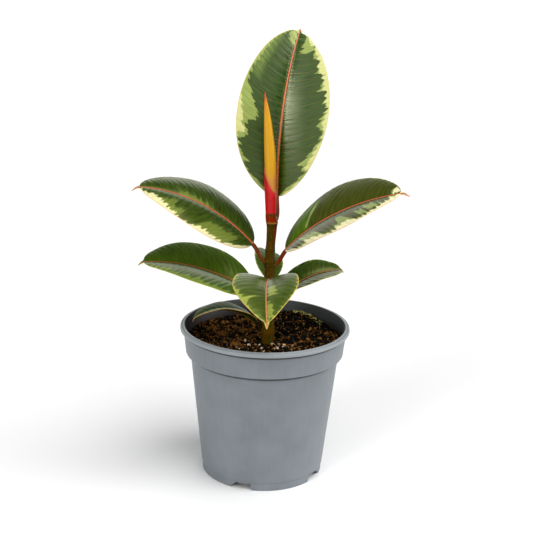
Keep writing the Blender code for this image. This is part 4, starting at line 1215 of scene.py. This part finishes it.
def petiole_rings(leaf, end, end_forward, end_sideways, count):
    """Rings along the petiole, a Bezier curve from just inside the stem's skin to the blade."""
    height = leaf["node"]
    middle, radius = stem_at(height)
    axis = np.array([AXIS_X + middle, AXIS_Y, height])
    outward = np.array([end[0] - axis[0], end[1] - axis[1], 0.0])
    outward /= np.linalg.norm(outward)
    stand = math.radians(leaf["stand"])
    leave = outward * math.cos(stand) + np.array([0.0, 0.0, math.sin(stand)])
    start = axis + outward * (radius - PETIOLE_ROOT)
    reach = np.linalg.norm(end - start) * PETIOLE_HANDLE
    controls = np.array([start, start + leave * reach, end - end_forward * reach, end])
    place = np.linspace(0, 1, PETIOLE_ROWS + 1)[:-1, None]
    rest = 1 - place
    weights = (rest ** 3, 3 * rest ** 2 * place, 3 * rest * place ** 2, place ** 3)
    centres = sum(weight * control for weight, control in zip(weights, controls))
    slopes = (rest ** 2, 2 * rest * place, place ** 2)
    forward = sum(slope * step for slope, step in zip(slopes, np.diff(controls, axis=0)))
    forward /= np.linalg.norm(forward, axis=1)[:, None]
    sideways = np.empty_like(centres)
    carried = end_sideways
    for ring in reversed(range(len(centres))):
        carried = carried - forward[ring] * (carried @ forward[ring])
        carried = carried / np.linalg.norm(carried)
        sideways[ring] = carried
    upward = np.cross(forward, sideways)
    radii = PETIOLE_RADIUS + (PETIOLE_FOOT_RADIUS - PETIOLE_RADIUS) * (1 - place[:, 0]) ** 4
    return ring_circle(centres, sideways, upward, radii, count), place[:, 0]


def leaf_material(name, marks):
    """Waxy leaf skin: smooth and glossy above, duller away from the midrib where the wax is rubbed,
    with sunken side veins about 5 mm apart and fine ridges between them; matt and paler below.
    Green where the skin cells hold chlorophyll and cream where they don't. The zones' edges are
    ragged, with one rounded lobe of green between two side veins, because each patch of cells ends
    at a vein. A side vein is a thin brown line, the midrib and the margin are reddish, and the drip
    tip is brown. UV holds millimetres across and the number of the side vein."""
    made, tree = new_material("waxy_" + name, IOR=1.45, Specular_IOR_Level=marks["gloss"],
                              Specular_Tint=marks["gloss_tint"])
    uv = add(tree, "UVMap", uv_map="veins")
    vein_number = add(tree, "SeparateXYZ", uv, output="Y")
    fields = {}
    for label in ("zones", "place", "stalk"):
        source = add(tree, "Attribute", output="Vector", attribute_name=label)
        fields[label] = [add(tree, "SeparateXYZ", source, output=axis) for axis in "XYZ"]
    cream_depth, pale_depth, mid_depth = fields["zones"]
    rib, edge, under = fields["place"]
    petiole, petiole_share, tip = fields["stalk"]
    cell, small = (
        add(tree, "SeparateXYZ", add(tree, "TexVoronoi", add(tree, "Mapping", uv, Scale=scale), 1,
                                     output="Color", voronoi_dimensions="2D"), output="X")
        for scale in ((0.16, 2.6, 1), (0.42, 7.0, 1)))
    streak, wide, threads = (
        add(tree, "TexNoise", add(tree, "Mapping", uv, Scale=scale), 1, Detail=detail,
            noise_dimensions="2D")
        for scale, detail in (((0.10, 3.4, 1), 3), ((0.05, 0.5, 1), 2), ((0.22, 8.5, 1), 2)))

    waver = add(tree, "Math", streak, math.pi, operation="MULTIPLY")
    finger = add(tree, "Math", vein_number, math.pi, waver, operation="MULTIPLY_ADD")
    finger = add(tree, "Math", finger, operation="SINE")
    finger = add(tree, "Math", finger, operation="ABSOLUTE")
    ragged = add(tree, "Math", small, 0.3, cell, operation="MULTIPLY_ADD")
    ragged = add(tree, "Math", ragged, streak, operation="ADD")
    ragged = add(tree, "Math", finger, -1.2, ragged, operation="MULTIPLY_ADD")

    def zone(depth, reach, softness, shift=0.0):
        """Share of a zone: its depth plus a ragged offset of up to reach millimetres each way."""
        offset = add(tree, "Math", ragged, reach, shift - 0.39 * reach, operation="MULTIPLY_ADD")
        moved = add(tree, "Math", depth, offset, operation="ADD")
        return add(tree, "MapRange", moved, -softness, softness)

    shade = add(tree, "MapRange", streak, 0.30, 0.70)
    lobe = zone(pale_depth, 3.4, 1.6, marks["lobe_mm"])
    lobe = add(tree, "Math", lobe, 0.6, operation="MULTIPLY")
    streaky = add(tree, "MapRange", streak, 0.62, 0.34, 0.50, 1)
    streaky = add(tree, "Math", zone(mid_depth, 1.2, 2.6), streaky, operation="MULTIPLY")
    pale_shade = add(tree, "Math", shade, 0.45, operation="MULTIPLY")
    pale = add(tree, "Mix", pale_shade, marks["pale"], marks["mid"], data_type="RGBA")
    cream_shade = add(tree, "Math", shade, 0.25, operation="MULTIPLY")
    cream = add(tree, "Mix", cream_shade, marks["cream"], marks["pale"], data_type="RGBA")
    from_vein = add(tree, "Math", vein_number, 0.5, operation="PINGPONG")
    vein_line = add(tree, "MapRange", from_vein, 0.012, 0.045, 0.75, 0)
    vein_line = add(tree, "Math", vein_line, wide, operation="MULTIPLY")
    edge_line = add(tree, "MapRange", edge, 0.28, 0.55, 0.9, 0)
    withered = add(tree, "Math", tip, 0.75, operation="MULTIPLY")
    colour = add(tree, "Mix", shade, *marks["dark"], data_type="RGBA")
    for share, layer in ((lobe, marks["lobe"]), (streaky, marks["mid"]),
                         (zone(pale_depth, 1.8, 0.2), pale), (zone(cream_depth, 1.5, 0.2), cream),
                         (vein_line, "7d5a22"), (edge_line, marks["margin"]),
                         (withered, marks["tip"])):
        colour = add(tree, "Mix", share, colour, layer, data_type="RGBA")

    back = add(tree, "Mix", 0.62, colour, marks["back"], data_type="RGBA")
    # Painted highlight: the midrib is painted in its crest colour along the crest and in its foot
    # colour on the flanks.
    crest = add(tree, "MapRange", rib, 0.1, 0.75, 1, 0)
    rib_highlit = add(tree, "Mix", crest, *marks["rib"], data_type="RGBA")
    rib_line = add(tree, "MapRange", rib, 0.82, 1.12, 1, 0)
    blush = add(tree, "TexNoise", add(tree, "TexCoord", output="Object"), 380)
    blush = add(tree, "Math", blush, 0.7, petiole_share, operation="MULTIPLY_ADD")
    blush = add(tree, "MapRange", blush, 0.35, 0.75)
    stalk = add(tree, "Mix", blush, *marks["stalk"], data_type="RGBA")
    neck = add(tree, "MapRange", petiole_share, 0.55, 1, 0, 0.75)
    stalk = add(tree, "Mix", neck, stalk, marks["neck"], data_type="RGBA")
    for share, layer in ((under, back), (rib_line, rib_highlit), (petiole, stalk)):
        colour = add(tree, "Mix", share, colour, layer, data_type="RGBA")

    rough = add(tree, "MapRange", under, 0, 1, marks["rough"], 0.50)
    worn = add(tree, "MapRange", rib, 4, 28, 0, marks["worn"])
    rough = add(tree, "Math", rough, worn, operation="ADD")
    rough = add(tree, "Math", wide, 0.12, rough, operation="MULTIPLY_ADD")
    ridges = add(tree, "Math", vein_number, math.tau * RIDGES_PER_VEIN, operation="MULTIPLY")
    ridges = add(tree, "Math", ridges, operation="SINE")
    near_rib = add(tree, "MapRange", rib, 1.1, 4.6, 4, 0.5)
    ridges = add(tree, "Math", ridges, near_rib, operation="MULTIPLY")
    relief = add(tree, "MapRange", from_vein, 0, 0.12, -1.2, 0, interpolation_type="SMOOTHSTEP")
    for pattern, weight in ((ridges, 0.5), (streak, 1.2), (threads, 1.8)):
        relief = add(tree, "Math", pattern, weight, relief, operation="MULTIPLY_ADD")
    bump = add(tree, "Bump", Strength=0.6, Distance=marks["relief"] * MM, Height=relief)
    return connect(made, Base_Color=colour, Roughness=rough, Normal=bump)


def make_leaf(name, leaf):
    """One closed loft: the petiole's rings, then the blade's, with a fan at each end."""
    marks = {**PLAIN_LEAF, **MARKINGS[name]}
    blade, fields, end, end_forward, end_sideways = blade_rings(name, leaf, marks)
    count = blade.shape[1]
    petiole, share = petiole_rings(leaf, end, end_forward, end_sideways, count)
    rings = np.concatenate([petiole, blade])
    shape = (len(petiole), count)
    plain = dict(
        uv=np.zeros((*shape, 2)),
        zones=np.full((*shape, 3), OUTSIDE_MM),
        place=np.broadcast_to([FAR_FROM_LINES, FAR_FROM_LINES, 0.0], (*shape, 3)),
        stalk=np.stack([np.ones(shape), np.broadcast_to(share[:, None], shape),
                        np.zeros(shape)], -1),
    )
    whole = {}
    for key, value in fields.items():
        joined = np.concatenate([plain[key], value])
        ends = np.stack([joined[0].mean(0), joined[-1].mean(0)])
        whole[key] = np.vstack([joined.reshape(-1, joined.shape[-1]), ends])
    points = np.vstack([rings.reshape(-1, 3), [rings[0].mean(0), rings[-1].mean(0)]])
    piece = make_piece(name.replace("leaf_", "") + "_leaf", points, tube_faces(len(rings), count),
                       leaf_material(name, marks), crease=60.0, uv=whole.pop("uv"),
                       attributes=whole)
    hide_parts(name)


for leaf_name, leaf_shape in LEAVES.items():
    make_leaf(leaf_name, leaf_shape)

# New leaf: still rolled into a slim spear, firm and waxy. It has little chlorophyll yet, so it is
# yellow-orange with a red tip, and the free edge of the roll runs up it as a low step.
SPEAR_LINE = (
    (0.2055, 0.0022, 0.0000, 0.0031),
    (0.2120, 0.0020, -0.0003, 0.0033),
    (0.2220, 0.0017, -0.0009, 0.0037),
    (0.2340, 0.0013, -0.0016, 0.0041),
    (0.2440, 0.0008, -0.0021, 0.0043),
    (0.2540, 0.0001, -0.0023, 0.0041),
    (0.2630, -0.0007, -0.0024, 0.0036),
    (0.2730, -0.0016, -0.0026, 0.0029),
    (0.2820, -0.0026, -0.0027, 0.0020),
    (0.2890, -0.0035, -0.0027, 0.0011),
    (0.2950, -0.0043, -0.0027, 0.0003),
)
SPEAR_ROWS = 160
SPEAR_SIDES = 64
SPEAR_CROWDING = 1.25
SPEAR_POINT = 0.0002
ROLL_STEP = 0.055
ROLL_EDGE_FROM = 40.0
ROLL_EDGE_TURN = -75.0
ROLL_EDGE_STEEPNESS = 40
WARM_FROM = -0.0010
WARM_TO = -0.0052
PEACH = (0.2460, 0.2340)
ORANGE_TIP = (0.2790, 0.2915)
RED_TIP = (0.2875, 0.2935)


def spear_at(heights):
    """The spear's centre x, centre y and radius at heights, smooth between the listed ones."""
    line = np.array(SPEAR_LINE)
    return [np.interp(heights, line[:, 0], line[:, i]) for i in (1, 2, 3)]


def spear_mesh():
    """Rings up the spear: radius = listed radius x (1 + step), where the step falls slowly round the
    ring and jumps back at the roll's free edge, which itself turns slowly on its way up."""
    low, high = SPEAR_LINE[0][0], SPEAR_LINE[-1][0]
    share = np.linspace(0, 1, SPEAR_ROWS + 1)
    heights = low + (high - low) * (1 - (1 - share) ** SPEAR_CROWDING)
    x, y, radius = spear_at(heights)
    turn = np.linspace(0, math.tau, SPEAR_SIDES, endpoint=False)
    edge = np.radians(ROLL_EDGE_FROM + ROLL_EDGE_TURN * share)[:, None]
    round_share = ((turn - edge) % math.tau) / math.tau
    step = ROLL_STEP * (0.5 - round_share) * np.clip(round_share * ROLL_EDGE_STEEPNESS, 0, 1)
    ring = radius[:, None] * (1 + step)
    rings = np.stack([
        AXIS_X + x[:, None] + ring * np.sin(turn),
        AXIS_Y + y[:, None] - ring * np.cos(turn),
        np.broadcast_to(heights[:, None], ring.shape),
    ], -1)
    poles = [[AXIS_X + x[0], AXIS_Y + y[0], low],
             [AXIS_X + x[-1], AXIS_Y + y[-1], high + SPEAR_POINT]]
    points = np.vstack([rings.reshape(-1, 3), poles])
    return points, tube_faces(len(heights), SPEAR_SIDES)


def spear_material():
    """Young rolled leaf: waxy yellow-orange skin with fine lengthwise lines about 0.5 mm apart, more
    orange on the left, with a peach flush at the foot and a tip that turns orange and then red."""
    made, tree = new_material("waxy_young_leaf", Roughness=0.36, IOR=1.45,
                              Specular_Tint=(1.0, 1.0, 0.55, 1.0))
    place = add(tree, "TexCoord", output="Object")
    height = add(tree, "SeparateXYZ", place, output="Z")
    across = add(tree, "SeparateXYZ", place, output="X")
    lines = add(tree, "TexNoise", add(tree, "Mapping", place, Scale=(1500, 1500, 60)), 1)
    cloud = add(tree, "TexNoise", place, 140)

    warm = add(tree, "MapRange", across, AXIS_X + WARM_FROM, AXIS_X + WARM_TO, 0, 0.55)
    foot = add(tree, "Math", cloud, 0.010, height, operation="MULTIPLY_ADD")
    peach = add(tree, "MapRange", foot, *PEACH, 0, 0.85, interpolation_type="SMOOTHSTEP")
    orange = add(tree, "MapRange", height, *ORANGE_TIP, 0, 0.7)
    red = add(tree, "MapRange", height, *RED_TIP, 0, 0.9)
    colour = add(tree, "Mix", lines, "bd8206", "d6a01a", data_type="RGBA")
    for share, layer in ((warm, "c98a30"), (peach, "c07c3a"), (orange, "d96a18"),
                         (red, "bb3a1e")):
        colour = add(tree, "Mix", share, colour, layer, data_type="RGBA")
    bump = add(tree, "Bump", Strength=0.5, Distance=0.06 * MM, Height=lines)
    return connect(made, Base_Color=colour, Normal=bump)


spear_points, spear_faces = spear_mesh()
spear = make_piece("rolled_new_leaf", spear_points, spear_faces, spear_material(),
                   crease=50.0)
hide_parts("new_leaf_spear")

# Sheath: the crimson papery tube that wrapped the new leaf, split open on a slant as the leaf grew
# out of it. Fleshy at its foot and thin at its mouth.
SHEATH_FOOT = 0.2055
SHEATH_WALL = 0.0006
SHEATH_LIP = 0.00022
SHEATH_LOW_MOUTH = 0.2215
SHEATH_HIGH_MOUTH = 0.2400
MOUTH_BEARING = 250.0
MOUTH_POWER = 1.3
SHEATH_ROWS = 60
SHEATH_SIDES = 72
FOOT_ROUND = 0.0005


def sheath_mesh():
    """A tube with two walls that follows the spear one gap off it: rings run from the foot to a
    mouth whose height follows a power of the cosine of the bearing, then back down inside."""
    bearings = np.linspace(0, 360, SHEATH_SIDES, endpoint=False)
    lift = (1 + np.cos(np.radians(bearings - MOUTH_BEARING))) / 2
    mouth = SHEATH_LOW_MOUTH + (SHEATH_HIGH_MOUTH - SHEATH_LOW_MOUTH) * lift ** MOUTH_POWER
    share = np.linspace(0, 1, SHEATH_ROWS + 1)[:, None]
    heights = SHEATH_FOOT + (mouth - SHEATH_FOOT) * share
    x, y, radius = spear_at(heights)
    foot = FOOT_ROUND * (1 - np.clip((heights - SHEATH_FOOT) / FOOT_ROUND, 0, 1)) ** 2
    wall = SHEATH_WALL + (SHEATH_LIP - SHEATH_WALL) * share ** 3 - 0.6 * foot
    turn = np.radians(bearings)
    walls = []
    for outside in (1, 0):
        ring = radius + GAP + outside * wall
        walls.append(np.stack([AXIS_X + x + ring * np.sin(turn),
                               AXIS_Y + y - ring * np.cos(turn), heights], -1))
    rings = np.concatenate([walls[0], walls[1][::-1]])
    to_mouth = (mouth - heights) / MM
    faces = [grid_faces(len(rings), SHEATH_SIDES, close_rows=True, close_columns=True)]
    return rings.reshape(-1, 3), faces, np.concatenate([to_mouth, to_mouth[::-1]]).ravel()


def sheath_material():
    """Fleshy red sheath: satin crimson with darker lengthwise streaks about 0.7 mm apart, pinker
    where it thins towards its mouth, with a fine pale edge."""
    made, tree = new_material("crimson_bud_sheath", Roughness=0.42, IOR=1.45,
                              Specular_Tint=(1.0, 0.70, 0.70, 1.0))
    place = add(tree, "TexCoord", output="Object")
    to_mouth = add(tree, "Attribute", output="Fac", attribute_name="to_mouth")
    lines = add(tree, "TexNoise", add(tree, "Mapping", place, Scale=(1100, 1100, 45)), 1,
                Detail=3)
    cloud = add(tree, "TexNoise", place, 260)

    both = add(tree, "Math", lines, 0.6, cloud, operation="MULTIPLY_ADD")
    share = add(tree, "MapRange", both, 0.55, 1)
    thin = add(tree, "MapRange", to_mouth, 3.5, 0, 0, 0.55)
    lip = add(tree, "MapRange", to_mouth, 0.22, 0.05, 0, 0.7)
    colour = add(tree, "Mix", share, "a80206", "c60c14", data_type="RGBA")
    colour = add(tree, "Mix", thin, colour, "d43a44", data_type="RGBA")
    colour = add(tree, "Mix", lip, colour, "d98a86", data_type="RGBA")
    bump = add(tree, "Bump", Strength=0.5, Distance=0.08 * MM, Height=lines)
    return connect(made, Base_Color=colour, Normal=bump)


sheath_points, sheath_faces, sheath_mouth = sheath_mesh()
sheath = make_piece("red_sheath", sheath_points, sheath_faces, sheath_material(),
                    crease=50.0, attributes={"to_mouth": sheath_mouth})
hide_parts("bud_sheath")

# Picture: a plain white floor under soft studio light. Each lamp stands for a diffuser far away: the
# main one is high at the front right, two at the front left put the sheen on the upright leaf and
# the spear's shadow beside it, a low one on the right lights the pot's side, and the bright wall
# behind mirrors in the flat leaves. The camera has the height and angle that the pot's ellipses
# give.
FLOOR_SIZE = 60.0
SKY_STRENGTH = 0.07
LAMPS = (
    ("key", 50.0, 62.0, 56.0, 2.6),
    ("front_left", -35.0, 15.0, 24.0, 1.2),
    ("front_high", -42.0, 37.0, 20.0, 0.55),
    ("right_side", 88.0, 10.0, 40.0, 1.9),
    ("back_wall", -176.0, 13.0, 60.0, 1.25),
)
LENS = 75.0
CAMERA_PLACE = (0.0, -0.796, 0.403)
CAMERA_PITCH = 16.55
CAMERA_ROLL = 1.43

floor_mesh = bpy.data.meshes.new("floor")
half = FLOOR_SIZE / 2
floor_mesh.from_pydata([(-half, -half, 0), (half, -half, 0), (half, half, 0), (-half, half, 0)],
                       [], [(0, 1, 2, 3)])
floor_paint = new_material("matt_white_floor", Roughness=0.8, Base_Color=paint("f4f4f4"))[0]
floor_mesh.materials.append(floor_paint)
floor = bpy.data.objects.new("floor", floor_mesh)
bpy.context.scene.collection.objects.link(floor)

world = bpy.data.worlds.new("studio")
world.use_nodes = True
world.node_tree.nodes["Background"].inputs["Color"].default_value = (1.0, 1.0, 1.0, 1.0)
world.node_tree.nodes["Background"].inputs["Strength"].default_value = SKY_STRENGTH
bpy.context.scene.world = world


def add_lamp(name, bearing, height, width, strength):
    """A soft light as from a round diffuser far away, width degrees across, at a bearing that runs
    from the front (-Y) towards +X and at a height above the horizon."""
    lamp = bpy.data.lights.new(name, "SUN")
    lamp.energy = strength
    lamp.angle = math.radians(width)
    made = bpy.data.objects.new(name, lamp)
    bpy.context.scene.collection.objects.link(made)
    made.rotation_euler = (math.radians(90 - height), 0.0, math.radians(bearing))


for lamp_values in LAMPS:
    add_lamp(*lamp_values)

pitch, roll = math.radians(CAMERA_PITCH), math.radians(CAMERA_ROLL)
look = np.array([0.0, math.cos(pitch), -math.sin(pitch)])
level = np.array([1.0, 0.0, 0.0])
over = np.cross(level, look)
right = math.cos(roll) * level + math.sin(roll) * over
above = -math.sin(roll) * level + math.cos(roll) * over
camera_data = bpy.data.cameras.new("camera")
camera_data.lens = LENS
camera = bpy.data.objects.new("camera", camera_data)
bpy.context.scene.collection.objects.link(camera)
matrix = np.eye(4)
matrix[:3, 0], matrix[:3, 1], matrix[:3, 2], matrix[:3, 3] = right, above, -look, CAMERA_PLACE
camera.matrix_world = matrix.T.tolist()
bpy.context.scene.camera = camera
bpy.context.scene.view_settings.view_transform = "Standard"
